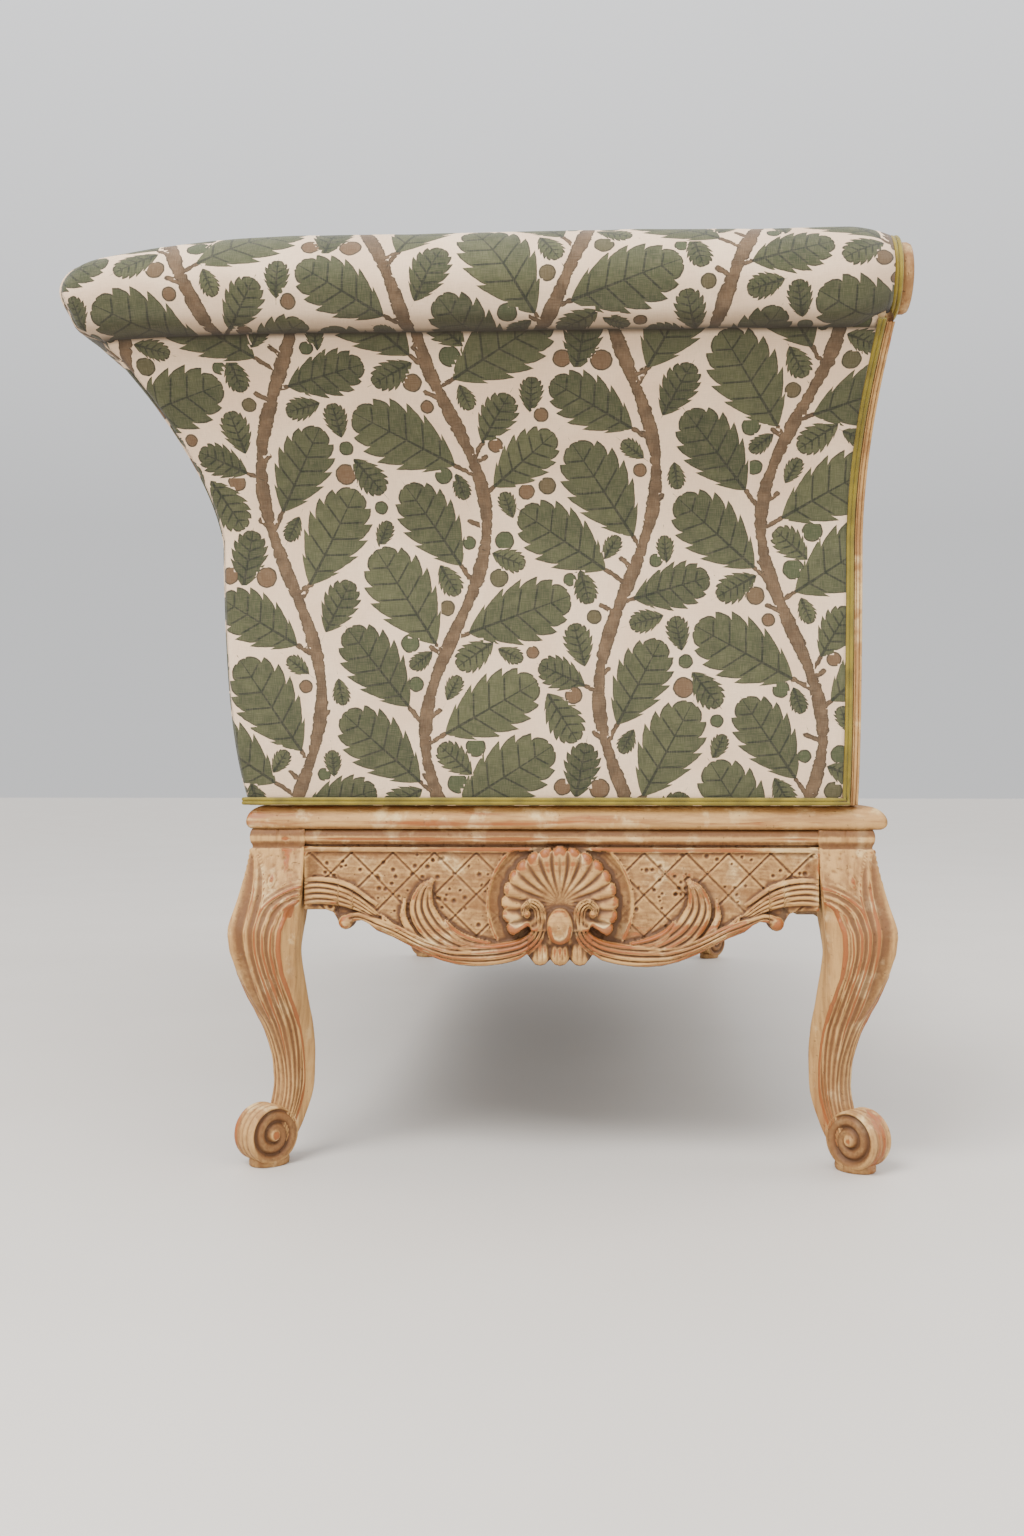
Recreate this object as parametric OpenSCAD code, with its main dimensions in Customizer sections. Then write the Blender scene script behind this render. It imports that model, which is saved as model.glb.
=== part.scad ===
// Settee with rolled arms and a rolled back on a carved cabriole base.
// Millimetres. +Z is up, -Y is the front, and the origin is on the floor under the middle.

/* [Base] */
// Length between the outer planes of the two end rails
base_length = 1800; // [1300:10:2200]
// Depth between the outer planes of the front and rear rails
base_depth = 690; // [600:10:820]
// Height of the rails' top edge above the floor
rail_top = 373; // [340:1:420]
// Thickness of the moulded board that lies on the rails
board_thick = 26; // [18:1:34]
// Width of the moulded board, from its outer edge inwards
board_width = 84; // [80:1:110]
// How much further the moulded board stands out at the front
board_front_extra = 9; // [0:1:20]
// How far the apron's face lies inside the rail plane
apron_inset = 12; // [8:1:16]
// Thickness of the rails
rail_thick = 26; // [20:1:32]
// Height of the bead along a rail's top edge
bead_high = 17; // [10:1:22]
// Depth of a carved apron at the arch beside a leg
arch_deep = 89; // [82:1:96]
// Depth of a carved apron at its lowest point
apron_deep = 151; // [140:1:162]

/* [Legs] */
// Side of the square post at the top of a leg
post_side = 62; // [56:1:70]
// How far the post's outer faces lie inside the rail plane
post_inset = 3; // [0:1:8]
// Half the width of the knee
knee_half = 39; // [35:1:44]
// How far the knee swings out along the diagonal
knee_out = 21; // [16:1:30]
// Height of the ankle
ankle_height = 95; // [88:1:104]
// Half the width of the ankle
ankle_half = 18.5; // [16:0.5:22]
// How far the ankle swings in along the diagonal
ankle_in = 16; // [10:1:20]
// Radius of the scroll foot
scroll_radius = 30; // [26:1:34]
// Width of the scroll foot
scroll_width = 36; // [30:1:42]
// How far the scroll's centre stands out along the diagonal
scroll_out = 22; // [16:1:30]
// Height of the block under the scroll
pad_high = 12; // [8:1:16]
// How far the scroll sinks into its block
scroll_sunk = 7; // [3:1:8]

/* [Arms and back] */
// Radius of the padded roll
roll_radius = 56; // [50:1:64]
// Height of the roll's centre above the moulded board
roll_rise = 531; // [470:1:600]
// How far the roll's centre stands outside the rail plane
roll_reach = 97; // [85:1:110]
// How far the rolls' outer corner is rounded off, in plan
roll_corner = 34; // [20:1:50]
// How far the outer faces swell outside the rail plane
face_bulge = 21; // [10:1:26]
// How far below the roll's centre the outer faces start to flare
flare_drop = 246; // [220:1:270]
// How far the inner faces lie inside the rail plane
wall_inside = 100; // [96:1:125]
// Thickness of the padded inner faces
pad_thick = 45; // [35:1:52]
// Thickness of the outer panels
panel_thick = 8; // [5:1:10]
// Radius of the wooden rail inside a roll
core_radius = 30; // [20:1:38]

/* [Front facings] */
// Thickness of a carved front facing
facing_thick = 10; // [8:1:16]
// How far a facing's front lies inside the front rail plane
facing_inset = 21; // [16:1:30]
// How much further forward the roll reaches than the arm below it
roll_forward = 27; // [16:1:32]
// Radius of the turned boss at the end of a roll
boss_radius = 37; // [30:1:42]
// Thickness of the turned boss
boss_thick = 22; // [16:1:26]

/* [Trim] */
// Radius of one cord of the double welt
welt_radius = 2.6; // [1.8:0.1:3.2]
// Distance between the two cords of the double welt
welt_pitch = 4.6; // [3.8:0.1:6]

/* [Seat] */
// Width of the webbing straps
strap_width = 50; // [40:1:60]
// Thickness of a webbing strap
strap_thick = 1.5; // [1:0.1:2.5]
// Thickness of the stuffed seat deck
deck_thick = 20; // [12:1:32]
// Thickness of the loose cushion at its edge
cushion_thick = 80; // [60:1:120]
// How much higher the cushion is in the middle
cushion_crown = 18; // [8:1:30]
// Gap between the cushion and the arms and back
cushion_gap = 6; // [2:1:12]
// Number of straps along the seat
straps_long = 5; // [4:1:6]
// Number of straps across the seat
straps_across = 14; // [10:1:18]

/* [Inside frame] */
// Thickness of the posts inside the arms and back
stud_thick = 34; // [25:1:45]
// Height of the sills inside the arms and back
sill_high = 48; // [36:1:60]
// Radius of the wood screws
screw_radius = 2.4; // [1.8:0.1:3]
// Length of the wood screws
screw_length = 46; // [40:1:50]

/* [Hidden] */

seat_top = rail_top + board_thick;
arch_height = rail_top - arch_deep;
apron_low = rail_top - apron_deep;
rest_gap = 0.3;
post_centre = post_inset + post_side / 2;
diagonal = sqrt(1 / 2);
knee_proud = knee_out * diagonal + knee_half - post_centre;
roll_outer = roll_reach + roll_radius;
half_length = base_length / 2;
front_y = -(base_depth + roll_outer + knee_proud) / 2 + knee_proud;
rear_y = front_y + base_depth;
middle_y = (front_y + rear_y) / 2;
facing_y = front_y + facing_inset;
welt_wide = 2 * (welt_radius + welt_pitch / 2);
arm_front_y = facing_y + facing_thick + welt_wide;
roll_front_y = arm_front_y - roll_forward;
roll_centre = [roll_reach, seat_top + roll_rise];
end_half = base_depth / 2 - post_inset - post_side;
long_half = half_length - post_inset - post_side;
bead_out = 8;

// Curves and solids built from rings of points

function bezier(p, t) =
    p[0] * pow(1 - t, 3) + p[1] * 3 * t * pow(1 - t, 2)
    + p[2] * 3 * t * t * (1 - t) + p[3] * pow(t, 3);
function curve(p, steps, first = 0) =
    [for (i = [first:steps]) bezier(p, i / steps)];
function on_circle(centre, radius, angle) =
    centre + radius * [cos(angle), sin(angle)];
function reverse(list) = [for (i = [len(list) - 1:-1:0]) list[i]];
function last_of(list) = list[len(list) - 1];
function unit(v) = v / norm(v);
// Moves each point of an open line by a distance to the right of its run
function shifted(line, by) = [
    for (i = [0:len(line) - 1])
        let (along = unit(line[min(i + 1, len(line) - 1)] - line[max(i - 1, 0)]))
            line[i] + by * [along[1], -along[0]]
];

module skin(rings) {
    count = len(rings[0]);
    last = len(rings) - 1;
    sides = [
        for (i = [0:last - 1], j = [0:count - 1])
            let (a = i * count + j, b = i * count + (j + 1) % count)
                each [[a, b + count, b], [a, a + count, b + count]]
    ];
    polyhedron(
        [for (ring = rings) each ring],
        concat(
            sides,
            [[for (j = [0:count - 1]) j]],
            [[for (j = [count - 1:-1:0]) last * count + j]]
        ),
        convexity = 6
    );
}

// Section through an arm or the back. The first number is the distance outside
// the rail plane and the second is the height.

foot_point = [-3, seat_top + rest_gap];
flare_foot = [face_bulge, roll_centre[1] - flare_drop];
crease_point = on_circle(roll_centre, roll_radius, -52);
swell_run = flare_foot[1] - foot_point[1];
outer_line = concat(
    curve([
        foot_point,
        foot_point + [face_bulge * 0.8, swell_run * 0.2],
        flare_foot - [1, swell_run * 0.48],
        flare_foot
    ], 7),
    curve([
        flare_foot,
        flare_foot + [2, flare_drop * 0.33],
        crease_point - [70, 62],
        crease_point
    ], 10, 1)
);
inner_foot = [-wall_inside, seat_top + rest_gap];
inner_bend = [-wall_inside, roll_centre[1] - flare_drop - 80];
inner_crease = on_circle(roll_centre, roll_radius, 145);
inner_line = concat(
    [inner_foot],
    curve([
        inner_bend,
        inner_bend + [0, 160],
        inner_crease - 80 * [sin(145), -cos(145)],
        inner_crease
    ], 12)
);
panel_back = shifted(outer_line, -panel_thick);
pad_back = shifted(inner_line, pad_thick);

module panel_section() {
    difference() {
        polygon(concat(outer_line, reverse(panel_back)));
        translate(roll_centre) circle(roll_radius, $fn = 96);
    }
}
// A pad stands on the webbing's ends
module pad_section() {
    difference() {
        polygon(concat(inner_line, reverse(pad_back)));
        translate(roll_centre) circle(roll_radius, $fn = 96);
        translate([-wall_inside - 1, seat_top])
            square([pad_thick + 2, 2 * strap_thick + rest_gap]);
    }
}
// A post fills the space between a padded face and an outer panel, from the sill
// up to the rail inside the roll
module stud_section() {
    difference() {
        polygon(concat(panel_back, [roll_centre], reverse(pad_back)));
        core_section();
        translate([-wall_inside, 0])
            square([wall_inside + roll_outer, seat_top + sill_high]);
    }
}

// Front outline of an arm, seen from its side, with the first number along y:
// straight at first, then swept forward to the roll
sweep_foot = flare_foot[1] + 10;
function front_line(behind) = [
    for (p = concat(
        [[0, seat_top - 1]],
        curve([
            [0, sweep_foot],
            [0, sweep_foot + 90],
            [-roll_forward * 0.45, roll_centre[1] - 80],
            [-roll_forward, roll_centre[1]]
        ], 8),
        [[-roll_forward, roll_centre[1] + roll_radius + 10]]
    ))
        p + [facing_y + behind, 0]
];
wall_spare = 5;
wall_end_y = rear_y + roll_outer + wall_spare;

module at_left_or_right(side) { mirror([side < 0 ? 1 : 0, 0, 0]) children(); }

// Places a section at an end wall, from one y to another. side is -1 for left.
module end_wall(side, from, to) {
    at_left_or_right(side)
        translate([half_length, to, 0])
            rotate([90, 0, 0])
                linear_extrude(to - from) children();
}
// The same with a swept front, from one distance behind the facing to another
module swept_wall(side, behind, to_behind) {
    front = front_line(behind);
    back = to_behind > base_depth
        ? [[wall_end_y, seat_top - 1], [wall_end_y, last_of(front)[1]]]
        : front_line(to_behind);
    intersection() {
        end_wall(side, facing_y - roll_forward - 1, wall_end_y) children();
        at_left_or_right(side)
            rotate([90, 0, 90])
                linear_extrude(half_length + roll_outer + 1)
                    polygon(concat(front, reverse(back)));
    }
}
// Places a section at the back wall, from one x to another
module back_wall(from, to) {
    translate([from, rear_y, 0])
        rotate([90, 0, 90])
            linear_extrude(to - from) children();
}
wall_end_x = half_length + roll_outer + wall_spare;
// The upright planes through the rear corners part the back from the arms
module back_side_plan() {
    beyond = roll_outer + 4 * wall_spare;
    polygon([[-half_length - beyond, rear_y + beyond],
             [half_length + beyond, rear_y + beyond],
             [0, rear_y - half_length]]);
}
module back_part() {
    intersection() {
        children();
        linear_extrude(2 * roll_centre[1]) back_side_plan();
    }
}
module arm_part() {
    difference() {
        children();
        translate([0, 0, -1]) linear_extrude(2 * roll_centre[1]) back_side_plan();
    }
}
// Plan of all that lies inside the rolls' rounded outer corners
module corner_round_plan() {
    reach = half_length + roll_outer + 1;
    depth = rear_y + roll_outer + 1;
    for (side = [-1, 1])
        translate([side * (reach - roll_corner), depth - roll_corner])
            circle(roll_corner, $fn = 64);
    translate([-reach, front_y - 100])
        square([2 * reach, depth - roll_corner - front_y + 100]);
    translate([-reach + roll_corner, depth - 2 * roll_corner])
        square([2 * (reach - roll_corner), 2 * roll_corner]);
}
module inside_corners() {
    intersection() {
        children();
        linear_extrude(2 * roll_centre[1]) corner_round_plan();
    }
}

// Legs

// Height, swing along the diagonal, half width and turn from the rails' square
// to the diagonal's square, at stations down the leg
knee_z = arch_height - 22;
function down(part) = knee_z + (ankle_height - knee_z) * part;
leg_stations = [
    [rail_top - 18, 0, post_side / 2 - 0.5, 0],
    [(rail_top + arch_height) / 2 - 6, knee_out * 0.24, post_side / 2 + 2, 0],
    [arch_height + 6, knee_out * 0.64, knee_half - 3, 0.05],
    [knee_z, knee_out, knee_half, 0.1],
    [down(0.13), knee_out + 1, knee_half - 2, 0.2],
    [down(0.28), knee_out * 0.8, knee_half - 4.5, 0.35],
    [down(0.4), knee_out * 0.48, knee_half - 7, 0.45],
    [down(0.52), knee_out * 0.12, ankle_half + 10, 0.55],
    [down(0.64), -ankle_in * 0.38, ankle_half + 6.5, 0.7],
    [down(0.76), -ankle_in * 0.72, ankle_half + 3.5, 0.85],
    [down(0.88), -ankle_in * 0.94, ankle_half + 1.3, 0.95],
    [ankle_height, -ankle_in, ankle_half, 1],
    [ankle_height * 0.84, -ankle_in * 0.94, ankle_half - 0.5, 1],
    [ankle_height * 0.69, -ankle_in * 0.72, ankle_half - 1, 1],
    [ankle_height * 0.55, -ankle_in * 0.38, ankle_half - 1.5, 1],
    [ankle_height * 0.4, 0, ankle_half - 2, 1],
    [ankle_height * 0.27, ankle_in * 0.38, ankle_half - 3.5, 1]
];
leg_sides = 32;
flute_deep = 2.2;

// Radius of a rounded square of half width h, turned by turn, at an angle
function square_radius(h, angle, turn) =
    h / pow(pow(abs(cos(angle - turn)), 6) + pow(abs(sin(angle - turn)), 6), 1 / 6);
// Flutes run down the two outer faces only, so they fade towards the inside
function flute(angle, depth) =
    depth * max(0, cos(angle)) * pow(abs(sin(angle * 6)), 2);
function leg_ring(s) = [
    for (j = [0:leg_sides - 1])
        let (
            angle = j * 360 / leg_sides,
            plain = (1 - s[3]) * square_radius(s[2], angle, 45)
                + s[3] * square_radius(s[2], angle, 0),
            r = plain - flute(angle, s[0] < arch_height + 10 ? flute_deep : 0)
        )
            [s[1] + r * cos(angle), r * sin(angle), s[0]]
];
scroll_z = pad_high + scroll_radius - scroll_sunk;

// One arm of the spiral groove in the scroll's side, from its rim to its eye
function spiral_line(turns, from, to, steps) = [
    for (i = [0:steps])
        let (t = i / steps)
            on_circle([0, 0], from + (to - from) * t, 60 + 360 * turns * t)
];
groove_deep = 2.5;
groove_wide = 3.2;
module scroll_foot() {
    line = spiral_line(1.6, scroll_radius - 7, 9, 28);
    translate([scroll_out, 0, scroll_z])
        rotate([90, 0, 0])
            difference() {
                cylinder(h = scroll_width, r = scroll_radius, center = true, $fn = 96);
                for (face = [-1, 1])
                    translate([0, 0, face * (scroll_width - groove_deep) / 2])
                        linear_extrude(groove_deep + 1, center = true)
                            polygon(concat(line, reverse(shifted(line, groove_wide))));
            }
}
module scroll_pad() {
    translate([scroll_out - 4, 0, 0])
        linear_extrude(pad_high)
            intersection() {
                square([scroll_radius * 1.5, scroll_width + 2], center = true);
                circle(scroll_radius * 0.86, $fn = 64);
            }
}
module mortises() {
    tenon_z = rail_top - tenon_high / 2 - tenon_drop;
    rail_mid = post_centre - apron_inset - rail_thick / 2;
    for (turn = [0, 1])
        mirror([turn, -turn, 0])
            translate([rail_mid, -post_side / 2 + tenon_long / 2 - 0.5, tenon_z])
                cube([tenon_thick, tenon_long + 1, tenon_high], center = true);
}
tenon_long = 25;
tenon_thick = 10;
tenon_high = 56;
tenon_drop = 16;

// A leg at the corner given by the signs of x and y
module leg(x_sign, y_sign) {
    translate([
        x_sign * (half_length - post_centre),
        middle_y + y_sign * (base_depth / 2 - post_centre),
        0
    ])
        mirror([x_sign < 0 ? 1 : 0, 0, 0])
            mirror([0, y_sign < 0 ? 1 : 0, 0]) {
                difference() {
                    union() {
                        rotate([0, 0, 45]) {
                            skin([for (s = reverse(leg_stations)) leg_ring(s)]);
                            scroll_foot();
                            scroll_pad();
                        }
                        translate([-post_side / 2, -post_side / 2, arch_height + 6])
                            cube([post_side, post_side, rail_top - arch_height - 6]);
                    }
                    mortises();
                }
            }
}
module leg_front_left() { color("burlywood") leg(-1, -1); }
module leg_front_right() { color("burlywood") leg(1, -1); }
module leg_rear_left() { color("burlywood") leg(-1, 1); }
module leg_rear_right() { color("burlywood") leg(1, 1); }

// Rails. Their outlines and carving are drawn with the first number along the
// rail from its middle and the second as the height.

curl_radius = 8;
curl_room = 98;
motif_half = end_half - curl_room;
motif_side = apron_low + 31;
function motif_x(part) = motif_half * part;
centre_edge = concat(
    [for (i = [0:6]) [motif_x(0.03) * i, apron_low + 8 - 7 * abs(cos(i * 45))]],
    curve([[motif_x(0.19), apron_low + 15], [motif_x(0.33), apron_low + 6],
           [motif_x(0.41), apron_low], [motif_x(0.53), apron_low]], 5),
    curve([[motif_x(0.53), apron_low], [motif_x(0.71), apron_low],
           [motif_x(0.82), apron_low + 16], [motif_half, motif_side]], 6, 1)
);
// The curl that ends a carved edge and the arch beside the leg, with the
// curl's middle at a distance along the rail
function curl_edge(middle) = concat(
    curve([[middle - 34, arch_height - 23], [middle - 26, arch_height - 13],
           [middle - 18, arch_height - 10],
           [middle - curl_radius, arch_height - 13]], 4, 1),
    [for (a = [190:34:360]) on_circle([middle, arch_height - 14], curl_radius, a)],
    curve([[middle + curl_radius, arch_height - 13], [middle + 14, arch_height - 3],
           [middle + 22, arch_height], [middle + 36, arch_height]], 4, 1)
);
curl_middle = 44;
end_edge = concat(
    centre_edge,
    curl_edge(end_half - curl_middle),
    [[end_half, arch_height]]
);
// The long apron has a second drop on each side, placed by its share of the run
// from the middle motif to the curl
function swag_x(part) = motif_half + part * (long_half - curl_middle - 34 - motif_half);
swag_low = apron_low + 24;
front_edge = concat(
    centre_edge,
    curve([[motif_half, motif_side], [swag_x(0.07), arch_height - 16],
           [swag_x(0.27), arch_height + 6], [swag_x(0.38), arch_height - 6]], 7, 1),
    curve([[swag_x(0.38), arch_height - 6], [swag_x(0.48), arch_height - 16],
           [swag_x(0.5), swag_low], [swag_x(0.6), swag_low]], 6, 1),
    curve([[swag_x(0.6), swag_low], [swag_x(0.7), swag_low],
           [swag_x(0.93), arch_height - 22], [swag_x(1), arch_height - 23]], 6, 1),
    curl_edge(long_half - curl_middle),
    [[long_half, arch_height]]
);
rear_edge = concat(
    [[0, arch_height - 14]],
    curve([[long_half - 160, arch_height - 14], [long_half - 90, arch_height - 14],
           [long_half - 70, arch_height], [long_half - 20, arch_height]], 6),
    [[long_half, arch_height]]
);
function mirrored(edge) = [for (p = reverse(edge)) if (p[0] > 0) [-p[0], p[1]]];

// A rail standing with its face at y 0, looking along +Y at it
module rail_board(edge, half) {
    rotate([90, 0, 0])
        translate([0, 0, -rail_thick])
            linear_extrude(rail_thick)
                polygon(concat(
                    [[half, rail_top], [-half, rail_top]],
                    mirrored(edge), edge
                ));
    for (side = [-1, 1])
        translate([
            side * (half + tenon_long / 2 - 0.5),
            rail_thick / 2,
            rail_top - tenon_high / 2 - tenon_drop
        ])
            cube([tenon_long + 1, tenon_thick - 0.2, tenon_high - 0.4], center = true);
    translate([-half, 0, rail_top - bead_high])
        rotate([90, 0, 90])
            linear_extrude(2 * half)
                polygon(concat(
                    [[1, 0], [1, bead_high]],
                    [for (a = [90:-20:-90])
                        [-bead_out * cos(a), bead_high / 2 * (1 + sin(a))]]
                ));
}

shell_ribs = 15;
shell_radius = 63;
shell_z = arch_height + 8;
// Section through the shell along one of its rays, rib or hollow
function shell_ring(angle, rib) =
    let (
        reach = shell_radius * (rib ? 1 : 0.955) * (1 - 0.06 * pow(cos(angle), 2)),
        raise = rib ? 1 : 0.6,
        ray = [cos(angle), sin(angle)],
        heights = [[9, 11], [0.35 * reach, 10], [0.62 * reach, 13], [0.86 * reach, 15],
                   [reach, 8]]
    )
        concat(
            [for (h = heights) [ray[0] * h[0], -h[1] * (h[0] > 10 ? raise : 1),
                                shell_z + ray[1] * h[0]]],
            [[ray[0] * reach, 1, shell_z + ray[1] * reach],
             [ray[0] * 9, 1, shell_z + ray[1] * 9]]
        );
module shell() {
    skin([
        for (i = [0:2 * shell_ribs])
            shell_ring(-32 + i * 244 / (2 * shell_ribs), i % 2 == 1)
    ]);
    dome(0, shell_z - 27, 15, 17, 14);
}
// An oval boss on the rail's face, by its middle, half sizes and height
module dome(x, z, half_x, half_z, high) {
    profile = [[1, -1 / high], [1, 0.45], [0.86, 0.75], [0.58, 0.94], [0.2, 1]];
    skin([for (p = profile)
        [for (a = [0:20:340])
            [x + p[0] * half_x * cos(a), -p[1] * high, z + p[0] * half_z * sin(a)]]]);
}
// A carved leaf strand that follows a curve and swells to a width on its way
function strand_ring(path, t, width) =
    let (
        at = bezier(path, t),
        along = unit(bezier(path, min(1, t + 0.02)) - bezier(path, max(0, t - 0.02))),
        across = [along[1], -along[0]],
        w = width * (0.3 + 0.7 * sin(180 * pow(t, 0.8)))
    )
        [for (a = [0:45:315])
            [at[0] + across[0] * w * cos(a), -0.5 + 0.55 * w * sin(a),
             at[1] + across[1] * w * cos(a)]];
module strand(path, width, steps = 11) {
    skin([for (i = [0:steps]) strand_ring(path, i / steps, width)]);
}
// A carved band of parallel ridges that follows a curve. Its width goes from one
// value to another and ends in a point.
band_ridges = 4;
function band_ring(path, t, from, to) =
    let (
        at = bezier(path, t),
        along = unit(bezier(path, min(1, t + 0.02)) - bezier(path, max(0, t - 0.02))),
        across = [along[1], -along[0]],
        w = (from + (to - from) * t) * sqrt(max(0.01, 1 - pow(t, 5))),
        deep = 5 + 4 * sin(180 * min(1, t * 1.1)),
        front = [for (i = [0:2 * band_ridges])
            let (u = i / band_ridges - 1)
                [u * w, -deep * (1 - 0.35 * u * u) * (i % 2 == 1 ? 1 : 0.66)]]
    )
        [for (p = concat(front, [[w, 1.5], [-w, 1.5]]))
            [at[0] + across[0] * p[0], p[1], at[1] + across[1] * p[0]]];
module band(path, from, to, steps) {
    skin([for (i = [0:steps]) band_ring(path, i / steps, from, to)]);
}
module motif_side_leaves() {
    band([[motif_x(0.14), apron_low + 26], [motif_x(0.48), apron_low - 6],
          [motif_x(0.75), apron_low + 6], [motif_x(0.81), arch_height + 20]], 11, 15, 12);
    strand([[motif_x(0.67), apron_low + 14], [motif_x(0.88), apron_low + 22],
            [motif_x(1.03), apron_low + 40], [motif_x(1.24), arch_height - 16]], 8.5, 8);
    dome(motif_x(0.17), arch_height - 5, 11, 11, 13);
}
module bracket_leaf(middle) {
    strand([[middle - 62, arch_height - 24], [middle - 40, arch_height + 22],
            [middle, arch_height + 26], [middle + 38, arch_height + 16]], 6.5, 8);
}
module carved_motif() {
    shell();
    motif_side_leaves();
    mirror([1, 0, 0]) motif_side_leaves();
}
module both_ways() {
    children();
    mirror([1, 0, 0]) children();
}
module rail_screw_holes(ends) {
    for (x = ends)
        translate([x, rail_thick / 2, rail_top - screw_length + board_thick])
            cylinder(h = screw_length, r = screw_radius, $fn = 24);
}
module end_rail(side) {
    translate([side * (half_length - apron_inset), middle_y, 0])
        rotate([0, 0, side * 90]) {
            difference() {
                rail_board(end_edge, end_half);
                rail_screw_holes(end_screws);
                corner_screw_holes(end_half);
            }
            carved_motif();
            both_ways() bracket_leaf(end_half - curl_middle);
        }
}
end_screws = [-end_half * 0.6, end_half * 0.6];
long_screws = [-long_half * 0.75, -long_half * 0.25, long_half * 0.25, long_half * 0.75];
module corner_screw_holes(half) {
    for (side = [-1, 1])
        translate([side * (half - block_side + screw_from_edge),
                   rail_thick - screw_in_rail, block_z])
            rotate([-90, 0, 0])
                cylinder(h = corner_screw_long, r = screw_radius, $fn = 24);
}
module front_rail() {
    translate([0, front_y + apron_inset, 0]) {
        difference() {
            rail_board(front_edge, long_half);
            rail_screw_holes(long_screws);
            corner_screw_holes(long_half);
        }
        carved_motif();
        both_ways() {
            bracket_leaf(long_half - curl_middle);
            strand([[swag_x(0.4), arch_height + 4], [swag_x(0.48), arch_height - 6],
                    [swag_x(0.53), swag_low + 8], [swag_x(0.62), swag_low + 14]], 7, 8);
            strand([[swag_x(0.63), swag_low + 14], [swag_x(0.69), swag_low + 4],
                    [swag_x(0.74), arch_height - 10], [swag_x(0.83), arch_height + 2]], 7, 8);
        }
    }
}
module rear_rail() {
    translate([0, rear_y - apron_inset, 0])
        rotate([0, 0, 180])
            difference() {
                rail_board(rear_edge, long_half);
                rail_screw_holes(long_screws);
                corner_screw_holes(long_half);
            }
}
module rail_front() { color("burlywood") front_rail(); }
module rail_rear() { color("burlywood") rear_rail(); }
module rail_left() { color("burlywood") end_rail(-1); }
module rail_right() { color("burlywood") end_rail(1); }

// Moulded boards, mitred at the corners

module nose_section(width, extra) {
    nose = board_thick / 2;
    polygon(concat(
        [[width, 0], [width, board_thick]],
        [for (a = [90:15:270]) [nose - extra + nose * cos(a), nose + nose * sin(a)]]
    ));
}
// A board along x from -half to half with its nose at y 0 and mitred ends. left
// and right say how far the next boards stand out past the rail plane.
module nosed_board(half, extra, extra_next) {
    difference() {
        translate([-half - extra_next - 1, 0, 0])
            rotate([90, 0, 90])
                linear_extrude(2 * (half + extra_next) + 2)
                    nose_section(board_width, extra);
        for (side = [-1, 1])
            mirror([side < 0 ? 1 : 0, 0, 0])
                translate([half + extra_next, -extra, -1])
                    rotate([0, 0, 45 + mitre_lean(extra, extra_next)])
                        translate([0, -2 * board_width, 0])
                            cube([4 * board_width, 6 * board_width, board_thick + 2]);
    }
}
// The mitre runs from the outer corner to the inner one, 45 degrees but for
// the front board's extra width
function mitre_lean(extra, extra_next) =
    atan2(board_width + extra_next, board_width + extra) - 45;
module board_screw_holes(ends) {
    for (x = ends)
        translate([x, apron_inset + rail_thick / 2, -1])
            cylinder(h = board_thick + 2, r = screw_radius, $fn = 24);
}
module moulding_front() {
    color("wheat")
        translate([0, front_y, rail_top])
            difference() {
                nosed_board(half_length, board_front_extra, 0);
                board_screw_holes(long_screws);
            }
}
module moulding_rear() {
    color("wheat")
        translate([0, rear_y, rail_top])
            rotate([0, 0, 180])
                difference() {
                    nosed_board(half_length, 0, 0);
                    board_screw_holes(long_screws);
                }
}
module moulding_end(side) {
    translate([side * half_length, middle_y, rail_top])
        rotate([0, 0, side * 90])
            difference() {
                intersection() {
                    rotate([90, 0, 90])
                        linear_extrude(base_depth + 2 * board_front_extra, center = true)
                            nose_section(board_width, 0);
                    linear_extrude(board_thick) end_board_plan(side);
                }
                board_screw_holes(end_screws);
            }
}
// Plan of an end board: a trapezium that meets the front and rear boards
module end_board_plan(side) {
    front = -side * base_depth / 2;
    way = -side;
    polygon([
        [front + way * board_front_extra, 0],
        [front - way * board_width, board_width],
        [-front + way * board_width, board_width],
        [-front, 0]
    ]);
}
module moulding_left() { color("wheat") moulding_end(-1); }
module moulding_right() { color("wheat") moulding_end(1); }

// Blocks, screws, cross rails and dust cover under the seat

block_side = 74;
block_high = 58;
cover_thick = 1.2;
block_z = rail_top - block_high / 2;
head_radius = 4.6;
head_high = 3;
corner_screw_long = 29;
screw_in_rail = 15;
screw_from_edge = 20;
screw_play = 0.05;

module corners() {
    for (x_sign = [-1, 1], y_sign = [-1, 1])
        translate([
            x_sign * (half_length - apron_inset - rail_thick),
            middle_y + y_sign * (base_depth / 2 - apron_inset - rail_thick),
            0
        ])
            mirror([x_sign > 0 ? 1 : 0, 0, 0])
                mirror([0, y_sign > 0 ? 1 : 0, 0]) children();
}
post_reach = post_inset + post_side - apron_inset - rail_thick;
block_reach = post_reach + block_side;
module corner_block() {
    difference() {
        translate([0, 0, rail_top - block_high])
            linear_extrude(block_high)
                polygon([[post_reach, 0], [block_reach, 0], [0, block_reach],
                         [0, post_reach], [post_reach, post_reach]]);
        corner_screw_pair() cylinder(h = block_side, r = screw_radius, $fn = 24);
        corner_screw_pair()
            translate([0, 0, corner_screw_long])
                cylinder(h = block_side, r = head_radius, $fn = 24);
    }
}
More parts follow.
